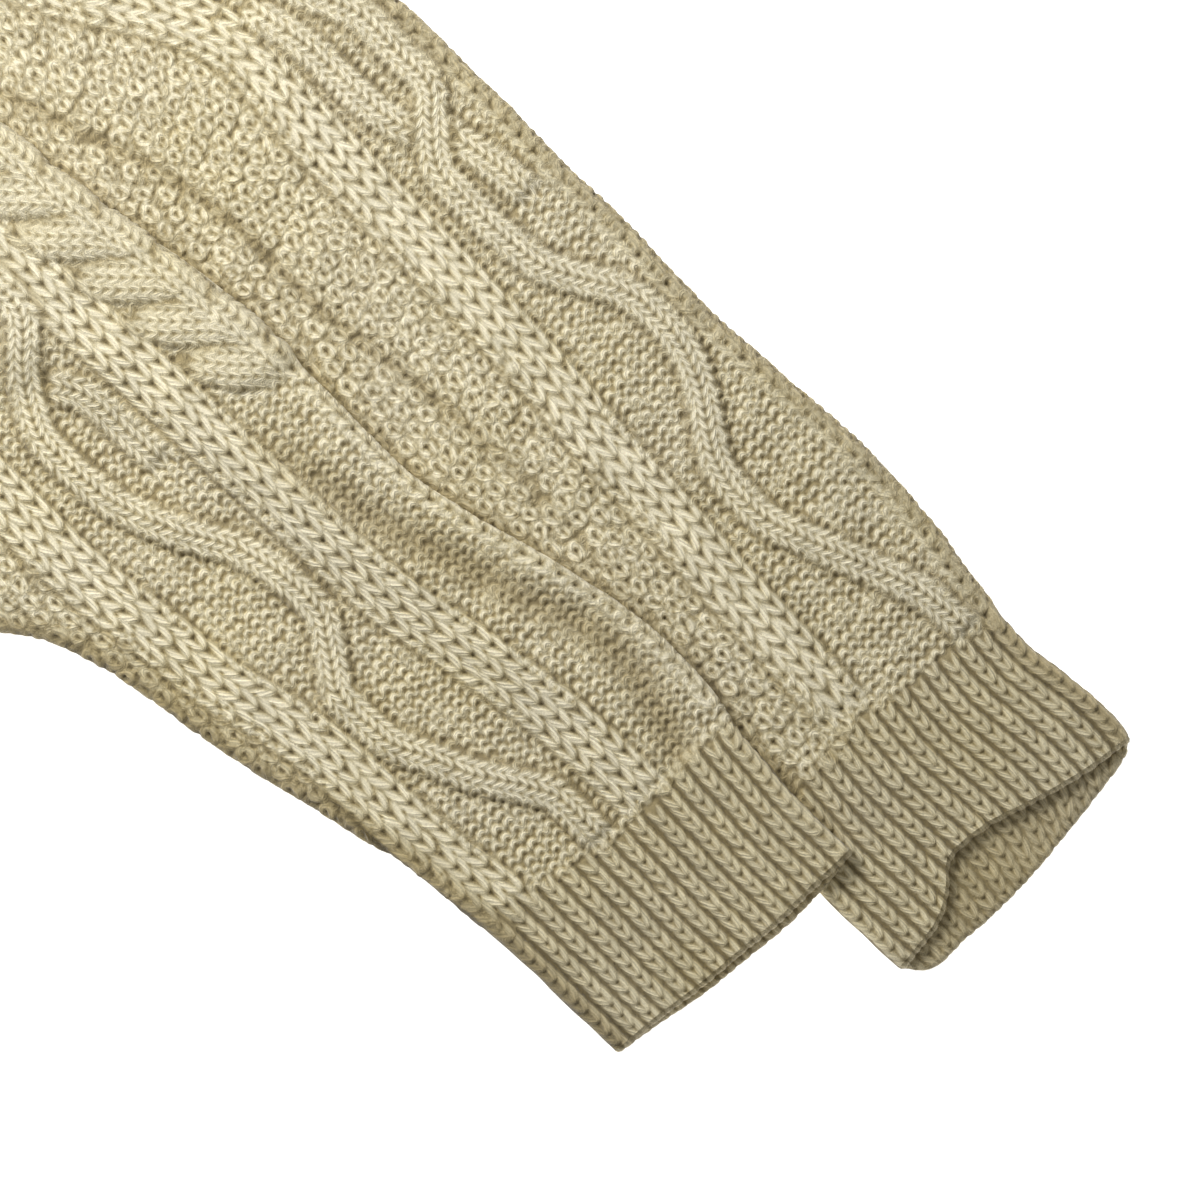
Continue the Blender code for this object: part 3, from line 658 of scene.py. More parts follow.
class Panels:
    """The raised panels of one stretch of cloth, and the painted shade in the creases beside
    them.
    """

    def __init__(self, ladders, strands, ropes, seams, troughs):
        self.ladders, self.strands, self.seams, self.troughs = (
            [Line(rows) for rows in kind] for kind in (ladders, strands, seams, troughs))
        self.ropes = [Rope(rows) for rows in ropes]

    def taken(self, points):
        """Whether a raised panel covers points, so that the ground there is sunk."""
        found = np.zeros(len(points), bool)
        for lines, half in ((self.ladders, LADDER_HALF - 1.6), (self.strands, STRAND_HALF - 2.0)):
            for line in lines:
                away, place = line.near(points)
                found |= (np.abs(away) < half) & (place > 0.5)
        for rope in self.ropes:
            found |= rope.top(points)[1] > 0.25
        return found

    def form(self, points):
        """Height of the panels and the painted shade in the creases at points."""
        height, crease_shade = np.zeros(len(points)), np.zeros(len(points))
        raised = [(line, LADDER_RISE, LADDER_HALF + 0.6, LADDER_SHADE) for line in self.ladders]
        raised += [(line, STRAND_RISE, STRAND_HALF, STRAND_SHADE) for line in self.strands[::-1]]
        for line, rise, half, dark in raised:
            away, place = line.near(points)
            away = np.abs(away)
            shown = smooth(place / PANEL_END) * smooth((line.length - place) / PANEL_END)
            found = rise * bump(away, half) * shown
            # painted shade in the crease along each panel's edge
            edge = np.maximum(crease_shade, dark * shown * bell(away - half, CREASE_WIDTH))
            kept = np.where(found > height, 0, crease_shade)
            crease_shade = np.where(away < half - CREASE_INSET, kept, edge)
            height = np.maximum(height, found)
        for rope in self.ropes:
            lobe, folds = rope.form(points)
            height = np.maximum(height, ROPE_RISE * lobe)
            crease_shade = np.where(lobe > ROPE_SHOWN, folds, crease_shade)
        for line in self.seams:
            away = line.near(points)[0]
            pulled = mix(SEAM_LEAST, 1.0, smooth((points[:, 1] - SEAM_PULLED) / SEAM_FADE))
            height -= SEAM_SUNK * pulled * bell(away, SEAM_WIDTH)
            # painted shade along the seam
            crease_shade = np.maximum(crease_shade, SEAM_SHADE * pulled * bell(away, SEAM_SHADE_WIDTH))
        for line in self.troughs:
            away, place = line.near(points)
            ends = smooth(place / TROUGH_START) * smooth((line.length - place) / TROUGH_FADE)
            valley = ends * bell(away, TROUGH_WIDTH)
            height -= TROUGH_DEPTH * valley
            # painted shade in the trough's valley
            crease_shade = np.maximum(crease_shade, TROUGH_SHADE * valley)
        return height, crease_shade

    def knit(self, stitches):
        """Lays the stitches of the raised panels."""
        for line in self.ladders:
            for offset in (-LADDER_WALE, LADDER_WALE, 0.0):
                stitches.column(LADDER, line, LADDER_PITCH, offset, jitter=0.24)
        main = self.strands[0]

        def clear(spots):
            """Which spots the main strand leaves free."""
            return np.abs(main.near(spots)[0]) > STRAND_HALF - 1

        columns = ((RIGHT_LEG, -KNIT_WALE), (LEFT_LEG, KNIT_WALE), (KNIT, 0.0))
        for line in self.strands:
            keep = None if line is main else clear
            for motif, offset in columns:
                stitches.column(motif, line, KNIT_PITCH, offset, keep=keep, phase=0.5)
        for rope in self.ropes:
            rope.knit(stitches)


# ---------------------------------------------------------------- meshes


def surface(name, node, points, values, ring, material):
    """A piece from rows of points, with a value of each kind at every point.

    Columns run to the right and rows onwards as seen from outside. In a ring, the last
    column is joined to the first. The piece takes the place of a solid, its node.
    """
    rows, columns = points.shape[:2]
    mesh = bmesh.new()
    bmesh.ops.create_grid(mesh, x_segments=columns - 1 + ring, y_segments=rows - 1, size=1.0)
    if ring:
        mesh.verts.ensure_lookup_table()
        line = columns + 1
        joined = {mesh.verts[i * line + columns]: mesh.verts[i * line] for i in range(rows)}
        bmesh.ops.weld_verts(mesh, targetmap=joined)
    data = bpy.data.meshes.new(name)
    mesh.to_mesh(data)
    mesh.free()
    data.vertices.foreach_set("co", (points * MM).astype(np.float32).ravel())
    for kind, found in values.items():
        attribute = data.attributes.new(kind, "FLOAT", "POINT")
        attribute.data.foreach_set("value", np.asarray(found, np.float32).ravel())
    data.materials.append(material)
    data.shade_smooth()
    data.update()
    piece = bpy.data.objects.new(name, data)
    bpy.context.scene.collection.objects.link(piece)
    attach(piece, BODY)
    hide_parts(node)
    return piece


# ---------------------------------------------------------------- sleeves

CELL = 0.25  # spacing of a chart's cells
CUFF_START = 2.4  # so that the rolled rim and its stitches end at the sleeve's end
GAPE_REACH = 60.0  # how far up the cuff its slanting hem is felt
GROUND_START = 40.0  # where along a sleeve its ground begins, under the ribs' ends
RIBS_END = 14.0  # how far the ribs' stitches run on past the cuff
HIDDEN_COLUMNS = 12  # across the part of a sleeve that another covers
# painted shade along an edge that curves away
EDGE_SHADE = 5.5  # width of the darker cloth along an edge that curves away
# painted shade on a cuff's inner face
CUFF_INSIDE_SHADE = 0.42
LUMPS = ((0.35, 34.0, 5), (0.15, 13.0, 6))  # height, size and seed of soft lumps
UPPER_INSIDE, LOWER_INSIDE = 12.0, 26.0  # how deep each cuff's inner face is made

# A length of a sleeve, with the distance of its rows and how many columns show.
Stretch = namedtuple("Stretch", "name first last step columns")
UPPER_STRETCHES = [
    Stretch("cuff", CUFF_START, 58, 0.5, 196),
    Stretch("forearm", 58, 200, 0.55, 226),
    Stretch("elbow", 200, 352, 0.6, 246),
    Stretch("shoulder", 352, 536.5, 1.5, 120),
]
LOWER_STRETCHES = [
    Stretch("cuff", CUFF_START, 62, 0.5, 200),
    Stretch("forearm", 62, 195, 0.52, 200),
    Stretch("elbow", 195, 330, 0.52, 176),
    Stretch("upper_arm", 330, 462, 0.58, 160),
    Stretch("shoulder", 462, 515.5, 1.5, 110),
]

# The chain of long stitches just inside a sleeve's right edge.
UPPER_CHAIN = [Spot(row.along, row.across - 2.4) for row in UPPER_RIGHT if 57 <= row.along <= 245]
LOWER_CHAIN = [Spot(row.along, row.across - 4.3) for row in LOWER_RIGHT if 57 <= row.along <= 516]


class Sleeve:
    """A flattened knitted tube. Its chart is laid out in the frame of its cuff."""

    def __init__(self, cuff, heading, right, left, fan_from, hem, rib_top, ribs, shades):
        self.cuff = cuff
        angle = math.radians(heading)
        self.onward = np.array([-math.cos(angle), math.sin(angle)])
        self.across = np.array([math.sin(angle), math.cos(angle)])
        self.right, self.left, self.fan_from = right, left, fan_from
        self.hem, self.rib_top, self.ribs = hem, rib_top, ribs
        # painted shade along the left and right edge
        self.shades = shades  # how dark the cloth is along its left and right edge

    def to_frame(self, across, along):
        """Places on the chart as x and y in the shared frame."""
        x = self.cuff[0] + across * self.across[0] + along * self.onward[0]
        y = self.cuff[1] + across * self.across[1] + along * self.onward[1]
        return x, y

    def from_frame(self, x, y):
        """x and y in the shared frame as places on the chart."""
        dx, dy = x - self.cuff[0], y - self.cuff[1]
        return (dx * self.across[0] + dy * self.across[1],
                dx * self.onward[0] + dy * self.onward[1])

    def ends(self, along):
        """Both edges' points on the sections that cross the right edge at these places."""
        spare = np.maximum(along - self.fan_from, 0)
        share = (self.left[-1].along - self.fan_from) / (self.right[-1].along - self.fan_from)
        left_along = np.minimum(along, self.fan_from) + spare * share
        return (read_edge(self.left, left_along), left_along,
                read_edge(self.right, along), along)

    def rib_top_at(self, across):
        """How far along the cuff's ribs reach."""
        rows = self.rib_top
        return through([row.along for row in rows], [row.across for row in rows], across)

    def rib_lines(self):
        """The middle line of each rib, from the cuff's end up."""
        along = np.linspace(-14, 74, 24)
        left, _, right, _ = self.ends(along)
        middles = (np.arange(self.ribs) + 0.5) / self.ribs
        return [course(*zip(along, mix(left, right, share))) for share in middles]


def make_sleeves():
    """The upper and the lower sleeve."""
    upper = Sleeve((233.4, -104.6), 43.5, UPPER_RIGHT, UPPER_LEFT, 240, UPPER_HEM,
                   UPPER_RIB_TOP, 15, (0.7, 0.0))
    lower = Sleeve((322.2, -74.0), 46, LOWER_RIGHT, LOWER_LEFT, 300, LOWER_HEM,
                   LOWER_RIB_TOP, 16, (0.0, 0.5))
    return upper, lower


def chart_sleeve(sleeve, panels, moss_side, close_side, chain, seed):
    """Lays every stitch of a sleeve.

    moss_side(spots) is where moss stitch fills in, and close_side(spots) where its rings
    lie close.
    """
    low = (min(row.across for row in sleeve.left), -16.0)
    high = (max(row.across for row in sleeve.right), sleeve.right[-1].along)
    chart = Chart(low, high, CELL)
    stitches = Stitches(seed)
    grounds = [
        (PURL, PURLS, lambda spots: ~moss_side(spots), 0.24, 0.0),
        (PURL, PURLS, moss_side, 0.24, 0.45),
        (MOSS, RINGS, lambda spots: moss_side(spots) & ~close_side(spots), 0.3, 0.0),
        (MOSS, CLOSE_RINGS, close_side, 0.5, 0.0),
    ]
    for motif, repeat, kind, jitter, sunk in grounds:
        spots = grid_of((low[0], GROUND_START), high, repeat)
        pull = [amount * unevenness(*spots.T, size, seed + size)
                for amount, size in ((0.9, 28), (0.7, 20))]
        spots = spots + np.stack(pull, axis=1)
        spots = spots[kind(spots) & (spots[:, 1] > sleeve.rib_top_at(spots[:, 0]) - 1.5)]
        taken = panels.taken(spots)
        stitches.field(motif, spots[~taken], jitter, sunk)
        stitches.field(motif, spots[taken], jitter, GROUND_SUNK)
    panels.knit(stitches)
    stitches.column(LADDER, Line(chain), LADDER_PITCH, jitter=0.2)
    for rows in sleeve.rib_lines():
        top = sleeve.rib_top_at(rows[len(rows) // 2].across)
        stitches.column(RIB, Line(rows), RIB_PITCH, last=top + RIBS_END)
    chart.lay(stitches)
    chart.pierce(stitches)
    chart.soften()
    return chart


def ring_profile(width, height, sides, flat, under=9, hidden=0.0):
    """The section of a flattened tube, from the middle of its left edge over the top.

    Gives the distance from the left edge, the height, the way out and the layer. Only a
    few points go to the hidden share of the top, which begins at its left edge.
    """
    step = math.pi / 2 / sides
    left = np.arange(sides) * step
    right = left[::-1] + step
    down = np.radians([0, 30, 60])
    up = down[:0:-1]
    wide = width[:, None]
    hidden = np.broadcast_to(hidden, len(width))[:, None]
    few = HIDDEN_COLUMNS if hidden.any() else 0
    level = np.concatenate([hidden * np.linspace(0, 1, few, endpoint=False),
                            hidden + (1 - hidden) * np.linspace(0, 1, flat - few)], axis=1)
    reach, corner = height * 0.6, height * 0.45
    x = np.concatenate([
        reach * (1 - np.cos(left)) + 0 * wide, reach + (wide - 2 * reach) * level,
        wide - reach * (1 - np.cos(right)), wide - corner * (1 - np.cos(down)),
        corner + (wide - 2 * corner) * np.linspace(1, 0, under),
        corner * (1 - np.cos(up)) + 0 * wide], axis=1)
    out_x = np.concatenate([-np.cos(left), np.zeros(flat), np.cos(right),
                            np.cos(down), np.zeros(under), -np.cos(up)])
    out_z = np.concatenate([np.sin(left), np.ones(flat), np.sin(right),
                            -np.sin(down), -np.ones(under), -np.sin(up)])
    z = np.tile(height / 2 * (1 + out_z), (len(width), 1))
    layer = np.where(np.arange(len(out_z)) < 2 * sides + flat, 1.0, 0.0)
    return x, z, out_x, out_z, layer


def drawn_back(sleeve, share, along, layer):
    """How far the hem's slant moves points along the sleeve."""
    places = [row.share for row in sleeve.hem]
    top = through([row.top for row in sleeve.hem], places, share)
    under = through([row.under for row in sleeve.hem], places, share)
    fade = np.clip(1 - along / GAPE_REACH, 0, 1) ** 2
    return np.where(layer > 0.5, top, under) * fade


def build_stretch(sleeve, stretch, chart, form, lift, cover, sides, hidden, height):
    """The outer face of one stretch of a sleeve, all round, as a ring of points.

    form gives the cloth's height and the painted shade in its creases, lift how high it lies,
    cover where it shows and the painted contact shadow beside the upper sleeve, and hidden
    which share of its width never does.
    """
    count = max(2, round((stretch.last - stretch.first) / stretch.step) + 1)
    along = np.linspace(stretch.first, stretch.last, count)
    left, left_along, right, right_along = sleeve.ends(along)
    width = np.hypot(right - left, right_along - left_along)
    x, z, out_x, out_z, layer = ring_profile(
        width, height, sides, stretch.columns, hidden=hidden(along))
    share = x / width[:, None]
    across = mix(left[:, None], right[:, None], share)
    place = mix(left_along[:, None], right_along[:, None], share)
    place = place + drawn_back(sleeve, share, along[:, None], layer[None])
    painted_edge_shade = sum(dark * bell(away, EDGE_SHADE)
               for dark, away in zip(sleeve.shades, (x, width[:, None] - x)))
    rise, crest, ply, tone = chart.read(across, place)
    fx, fy = sleeve.to_frame(across, place)
    shown, contact_shadow = cover(fx, fy)
    on_top = layer[None] * shown
    panel, crease_shade = form(across, place)
    # painted shade from creases and edges, and the painted contact shadow
    crease_shade = np.maximum(crease_shade + painted_edge_shade, contact_shadow)
    bulk = (panel + rise * (0.3 + 0.7 * np.clip(out_z, 0, 1))[None]) * on_top
    side = np.stack([sleeve.across[0] * out_x, sleeve.across[1] * out_x, out_z], axis=1)
    points = np.stack([fx, fy, z + lift(fx, fy)], axis=2) + bulk[..., None] * side[None]
    values = {"crest": np.where(on_top > 0.4, crest, 0.6), "crease_shade": crease_shade * on_top,
              "ply": ply, "tone": tone}
    if stretch is UPPER_STRETCHES[-1]:
        points = np.concatenate([points, points[-1:]])  # closes the armhole's end
        points[-1, :, 2] = points[-1, :, 2].mean()
        values = {kind: np.concatenate([found, found[-1:]]) for kind, found in values.items()}
    return points, values


def build_cuff_rim(sleeve, chart, lift, sides, height, columns, wall, depth):
    """The hem's round edge and the inner face behind it, as a ring of points."""
    rim, inner = 6, max(2, round(depth / 0.5))
    left, _, right, _ = sleeve.ends(np.array([CUFF_START]))
    width = right - left
    x, z, out_x, out_z, layer = ring_profile(width, height, sides, columns, 180)
    turn = np.linspace(0, math.pi, rim)
    inset = np.concatenate([wall / 2 * (1 - np.cos(turn)), np.full(inner, wall)])
    ahead = np.concatenate([wall / 2 * np.sin(turn), -np.linspace(0, depth, inner + 1)[1:]])
    across = left + x - inset[:, None] * out_x[None]
    start = CUFF_START + drawn_back(sleeve, x / width, np.array([CUFF_START]), layer[None])
    place = start - ahead[:, None]
    rise, crest, ply, tone = chart.read(across, place)
    fx, fy = sleeve.to_frame(across, place)
    rise_out = np.concatenate([np.cos(turn), -np.ones(inner)])[:, None]
    inward = np.concatenate([np.sin(turn), np.zeros(inner)])[:, None]
    bulk = rise * np.maximum(layer[None], smooth((inset / wall - 0.2) / 0.5)[:, None])
    forward = -inward * bulk * 0.35
    sideways = out_x[None] * rise_out * bulk
    px = fx + forward * sleeve.onward[0] + sideways * sleeve.across[0]
    py = fy + forward * sleeve.onward[1] + sideways * sleeve.across[1]
    pz = z + out_z[None] * (rise_out * bulk - inset[:, None]) + lift(fx, fy)
    points = np.stack([px, py, pz], axis=2)
    # the inner face gets painted shade all over
    values = {"crest": crest, "crease_shade": np.full_like(crest, CUFF_INSIDE_SHADE),
              "ply": ply, "tone": tone}
    return points[::-1], {kind: found[::-1] for kind, found in values.items()}


def build_sleeve(context, which):
    """Builds a sleeve's outer face in stretches, and the inner face of its cuff."""
    sizes = context.scene.pullover_sleeves
    height, wall = sizes.height / MM, sizes.wall / MM
    upper, lower = make_sleeves()
    upper_edge, lower_edge = Line(UPPER_RIGHT, 3.0), Line(LOWER_LEFT, 3.0)
    material = yarn_material(context)

    def past(sleeve, edge, x, y):
        """How far points lie to the right of a sleeve's edge, and along the sleeve."""
        across, along = sleeve.from_frame(x, y)
        away = edge.near(np.stack([across.ravel(), along.ravel()], axis=1))[0]
        return away.reshape(x.shape), along

    def on_lower(x, y):
        """Height under the upper sleeve: over the lower one, then down to the floor."""
        away = np.minimum(-past(lower, lower_edge, x, y)[0], x - LOWER_SIDE_X)
        return sizes.rest / MM * (1 - smooth((away - 9.0) / 24.0))

    def bare(x, y):
        """1 where the lower sleeve shows, and the painted contact shadow beside the upper one."""
        away, along = past(upper, upper_edge, x, y)
        shown = np.maximum(smooth((away + 4.0) / 3.5), smooth((-3.5 - along) / 2.5))
        return shown, 0.6 * bell(away - 0.6, 2.0) * smooth((along + 4.0) / 8.0)

    def under_upper(along):
        """The share of the lower sleeve's width that the upper one hides."""
        edge_across, edge_along = lower.from_frame(*upper.to_frame(*upper_edge.points.T))
        left, _, right, _ = lower.ends(along)
        edge = np.interp(along, edge_along, edge_across)
        return np.clip((edge - 9.0 - left) / (right - left), 0.0, 0.8)

    def left_of(line):
        """Tells which spots lie to a line's left."""
        return lambda spots: ~(line.near(spots)[0] > 0)

    if which == "sleeve_upper":
        sleeve, stretches, depth = upper, UPPER_STRETCHES, UPPER_INSIDE
        panels = Panels(UPPER_LADDERS, UPPER_STRANDS, UPPER_ROPES, [], [UPPER_TROUGH])
        chart = chart_sleeve(sleeve, panels, left_of(panels.ladders[1]),
                             lambda spots: np.zeros(len(spots), bool), UPPER_CHAIN, 11)
        lift, cover = on_lower, lambda x, y: (np.ones(x.shape), np.zeros(x.shape))
    else:
        sleeve, stretches, depth = lower, LOWER_STRETCHES, LOWER_INSIDE
        panels = Panels(LOWER_LADDERS, LOWER_STRANDS, [], [UNDERARM_SEAM], [])
        moss_side, seam_side = left_of(panels.ladders[0]), left_of(panels.seams[0])
        chart = chart_sleeve(sleeve, panels, moss_side,
                             lambda spots: moss_side(spots) & ~seam_side(spots), LOWER_CHAIN, 23)
        lift, cover = lambda x, y: np.zeros(x.shape), bare

    def form(across, place):
        """Panels, painted shade in their creases and soft lumps, with ribs and painted shade in
        their grooves in place of panels on the cuff.
        """
        flat = np.stack([across.ravel(), place.ravel()], axis=1)
        raised, crease_shade = (part.reshape(across.shape) for part in panels.form(flat))
        cuff = smooth((sleeve.rib_top_at(across) + 3.0 - place) / 6.0)
        left, _, right, _ = sleeve.ends(place)
        rib = 0.5 - 0.5 * np.cos(2 * math.pi * (across - left) / (right - left) * sleeve.ribs)
        lumps = sum(lump * unevenness(across, place, size, seed) for lump, size, seed in LUMPS)
        # painted shade in the grooves between ribs
        groove = 0.17 + 0.5 * smooth(1 - rib * 3.2)
        return mix(raised, RIB_RISE * rib ** 0.7, cuff) + lumps, mix(crease_shade, groove, cuff)

    for stretch in stretches:
        sparse = sleeve is lower and stretch.first > GAPE_REACH
        hidden = under_upper if sparse else lambda along: 0.0
        points, values = build_stretch(sleeve, stretch, chart, form, lift, cover, sizes.sides,
                                       hidden, height)
        piece = surface(f"{which}_{stretch.name}", which, points, values, True, material)
        left, left_along, right, right_along = sleeve.ends(
            np.linspace(stretch.first, stretch.last, 9))
        inside = []
        if stretch.name == "cuff":
            points, values = build_cuff_rim(sleeve, chart, lift, sizes.sides, height,
                                            stretch.columns, wall, depth)
            inside = [surface(f"{which}_cuff_inside", which, points, values, True, material)]


# ---------------------------------------------------------------- body and neckband

# Parts whose points lie too far apart for single stitches have their stitches in the
# material, from how far a point is across and along its panel, and whether it is knit.


HEM_RIB_PITCH, NECK_RIB_PITCH = 6.5, 5.1
HIDDEN_SPACING = 14.0  # of points where a panel is covered
REVERSE_SPACING = 3.0  # and on its reverse at the neck


def plain_values(height, crease_shade, across, along, knit):
    """What such a part's points say to the material."""
    return {
        "crest": np.full(height.shape, 0.7),
        # painted shade in the creases
        "crease_shade": 0.8 * crease_shade,
        "ply": np.zeros(height.shape),
        "tone": 0.6 * unevenness(across, along, 6.0, 3),
        "far": np.ones(height.shape),
        "across": across,
        "along": along,
        "knit": knit,
    }


def neckline(w, depth):
    """Height of a panel's end at a distance from its centre: neck curve, then shoulder."""
    w = np.abs(w)
    neck = NECK_POINT_Y - depth * (1 - np.minimum(w / HALF_NECK, 1) ** NECK_CURVE)
    return neck - SHOULDER_DROP * np.maximum(w - HALF_NECK, 0) / (HALF_CHEST - HALF_NECK)


def rolled(beyond, radius):
    """How far past an edge, and how far down, a rim lies that is rolled inwards."""
    walked = np.clip(beyond, 0, math.pi * radius)
    past = radius * np.sin(walked / radius) - np.maximum(beyond - math.pi * radius, 0)
    return past, radius * (1 - np.cos(walked / radius))


def rib_wave(place, pitch):
    """Height of ribs from 0 to 1."""
    return 0.5 - 0.5 * np.cos(2 * math.pi * place / pitch)


def front_form(w, y):
    """Height of the front's panels, the painted shade in its creases, places in the panels and
    what is knit.
    """
    height, crease_shade = np.zeros(w.shape), np.zeros(w.shape)
    across, along, knit = w.copy(), y.copy(), np.zeros(w.shape)
    wave = BODY_WAVE + WAVE_SWING * np.sin(2 * math.pi * y / WAVE_LENGTH)
    panels = [(ladder, LADDER_RISE, LADDER_HALF) for ladder in BODY_LADDERS]
    for middle, rise, half in [*panels, (wave, STRAND_RISE, STRAND_HALF)]:
        away = w - middle
        inside = np.abs(away) < half
        height = np.maximum(height, rise * bump(away, half))
        # painted shade in the crease beside each panel
        crease_shade = np.maximum(crease_shade, 0.7 * bell(np.abs(away) - half, 1.2))
        across = np.where(inside, away + FINE_WALE / 2, across)
        knit = np.where(inside, 1.0, knit)
    away = w - BODY_ROPE
    turn = (y + 1.15 * away) / ROPE_TWIST % 1.0
    lobe = smooth(turn / 0.22) * (1 - 0.55 * smooth((turn - 0.35) / 0.65))
    height = np.maximum(height, ROPE_RISE * bump(away, ROPE_HALF) * (0.38 + 0.62 * lobe))
    inside = np.abs(away) < ROPE_HALF
    # painted shade in the rope's grooves and along its edges
    groove = np.where(inside, 0.8 * bell(np.minimum(turn, 1 - turn) * ROPE_TWIST, 1.6), 0)
    edge = 0.6 * bell(np.abs(away) - ROPE_HALF, 1.4)
    crease_shade = np.maximum(crease_shade, np.maximum(groove, edge))
    across = np.where(inside, 0.87 * away + 0.5 * y, across)
    along = np.where(inside, 0.87 * y - 0.5 * away, along)
    return height, crease_shade, across, along, np.where(inside, 1.0, knit)


def back_form(w, y):
    """The same for the plain back."""
    return np.zeros(w.shape), np.zeros(w.shape), w.copy(), y.copy(), np.zeros(w.shape)


def build_fold(name, floor, roof, left, outside, depth, form, spacing, reverse, material):
    """A panel folded in half along its length, with its rims rolled inwards.

    outside says whether its right side is outside the fold. reverse is how far its
    reverse is made at the neck, where that can be seen.
    """
    thick = CLOTH / 2
    radius = (roof - floor) / 2
    turn_x = left + radius
    reach = radius if outside else radius - CLOTH
    around = math.pi * thick
    lip = np.array([*np.linspace(0, around, 7), around + 4, around + 9])

    # Across the panel, from the lower half's side round the fold to the upper half's.
    side_x = LOWER_SIDE_X - thick
    arc = math.pi * reach
    lower_length = side_x - turn_x
    upper_length = lower_length - 2 * FOLD_AT
    total = lower_length + arc + upper_length
    if outside:
        lower, steps, upper_step = np.arange(0, lower_length, HIDDEN_SPACING), 10, spacing
    else:
        strip = np.arange(0, 2 * FOLD_AT + 6, spacing)
        hidden = np.arange(strip[-1] + 8, lower_length, HIDDEN_SPACING)
        lower, steps, upper_step = np.concatenate([strip, hidden]), 4, HIDDEN_SPACING
    way = np.concatenate([-lip[:0:-1], lower, lower_length + np.linspace(0, arc, steps + 1)[:-1],
                          lower_length + arc + np.arange(0, upper_length, upper_step),
                          total + lip])
    held = np.clip(way, 0, total)
    past_fold = np.maximum(held - lower_length - arc, 0)
    angle = math.pi * 1.5 - np.clip(held - lower_length, 0, arc) / reach
    x = np.where(held > lower_length, turn_x + reach * np.cos(angle), side_x - held)
    x = np.where(past_fold > 0, turn_x + past_fold, x)
    z = (floor + roof) / 2 + reach * np.sin(angle)
    w = np.where(held < lower_length, FOLD_AT - (x - FOLD_X),
                 FOLD_AT + np.copysign(x - FOLD_X, np.sin(angle)))
    w = np.where(past_fold > 0, FOLD_AT + (x - FOLD_X), w)
    chart_w = FOLD_AT + radius + past_fold - np.maximum(total - upper_length - held, 0)
    side_past, side_down = rolled(np.maximum(-way, way - total), thick)

    # Along the panel, from the hem to the neck and the shoulders.
    step = spacing * 1.25
    share = np.linspace(0, 1, round((NECK_POINT_Y - HEM_Y - HEM_RIB) / step))
    rib = np.arange(thick, HEM_RIB, step)
    top_lip = lip[1:]
    if reverse:
        seen_on = around + np.arange(REVERSE_SPACING, reverse, REVERSE_SPACING)
        top_lip = np.concatenate([lip[1:-2], seen_on])
    end = neckline(w, depth) - thick
    rows = [np.full(w.shape, HEM_Y + thick)] * (len(lip) - 1)
    rows += [np.full(w.shape, HEM_Y + place) for place in rib]
    rows += [mix(HEM_Y + HEM_RIB, end, part) for part in share]
    rows += [end] * len(top_lip)
    y = np.stack(rows)
    beyond = np.concatenate([lip[:0:-1], np.zeros(len(rib) + len(share)), top_lip])
    end_past, end_down = rolled(beyond, thick)
    end_past = np.where(np.arange(len(rows)) < len(rows) / 2, -end_past, end_past)

    chart = np.broadcast_to(chart_w, y.shape).copy()
    height, crease_shade, across, along, knit = form(chart, y)
    ribbed = smooth((HEM_Y + HEM_RIB + 1 - y) / 3)
    wave = rib_wave(chart, HEM_RIB_PITCH)
    height = mix(height, RIB_RISE * wave, ribbed)
    # painted shade in the grooves between the hem's ribs
    crease_shade = mix(crease_shade, 0.5 * smooth(1 - wave * 3), ribbed)
    across = np.where(ribbed > 0.5, chart / HEM_RIB_PITCH * FINE_WALE, across)
    knit = np.where(ribbed > 0.5, 1.0, knit)
    down = np.maximum(end_down[:, None], side_down[None])
    seen = (past_fold > 0) if outside else (held < 2 * FOLD_AT)
    bulk = (height * seen[None] * (1 - smooth(down / thick)) - down) * (1 if outside else -1)
    points = np.stack([x + side_past + np.cos(angle) * bulk,
                       y + end_past[:, None],
                       z + np.sin(angle) * bulk], axis=2)
    values = plain_values(height, crease_shade, across, along, knit)
    if not outside:
        points = points[:, ::-1]
        values = {kind: found[:, ::-1] for kind, found in values.items()}
    piece = surface(name + "_knit", name, points, values, False, material)


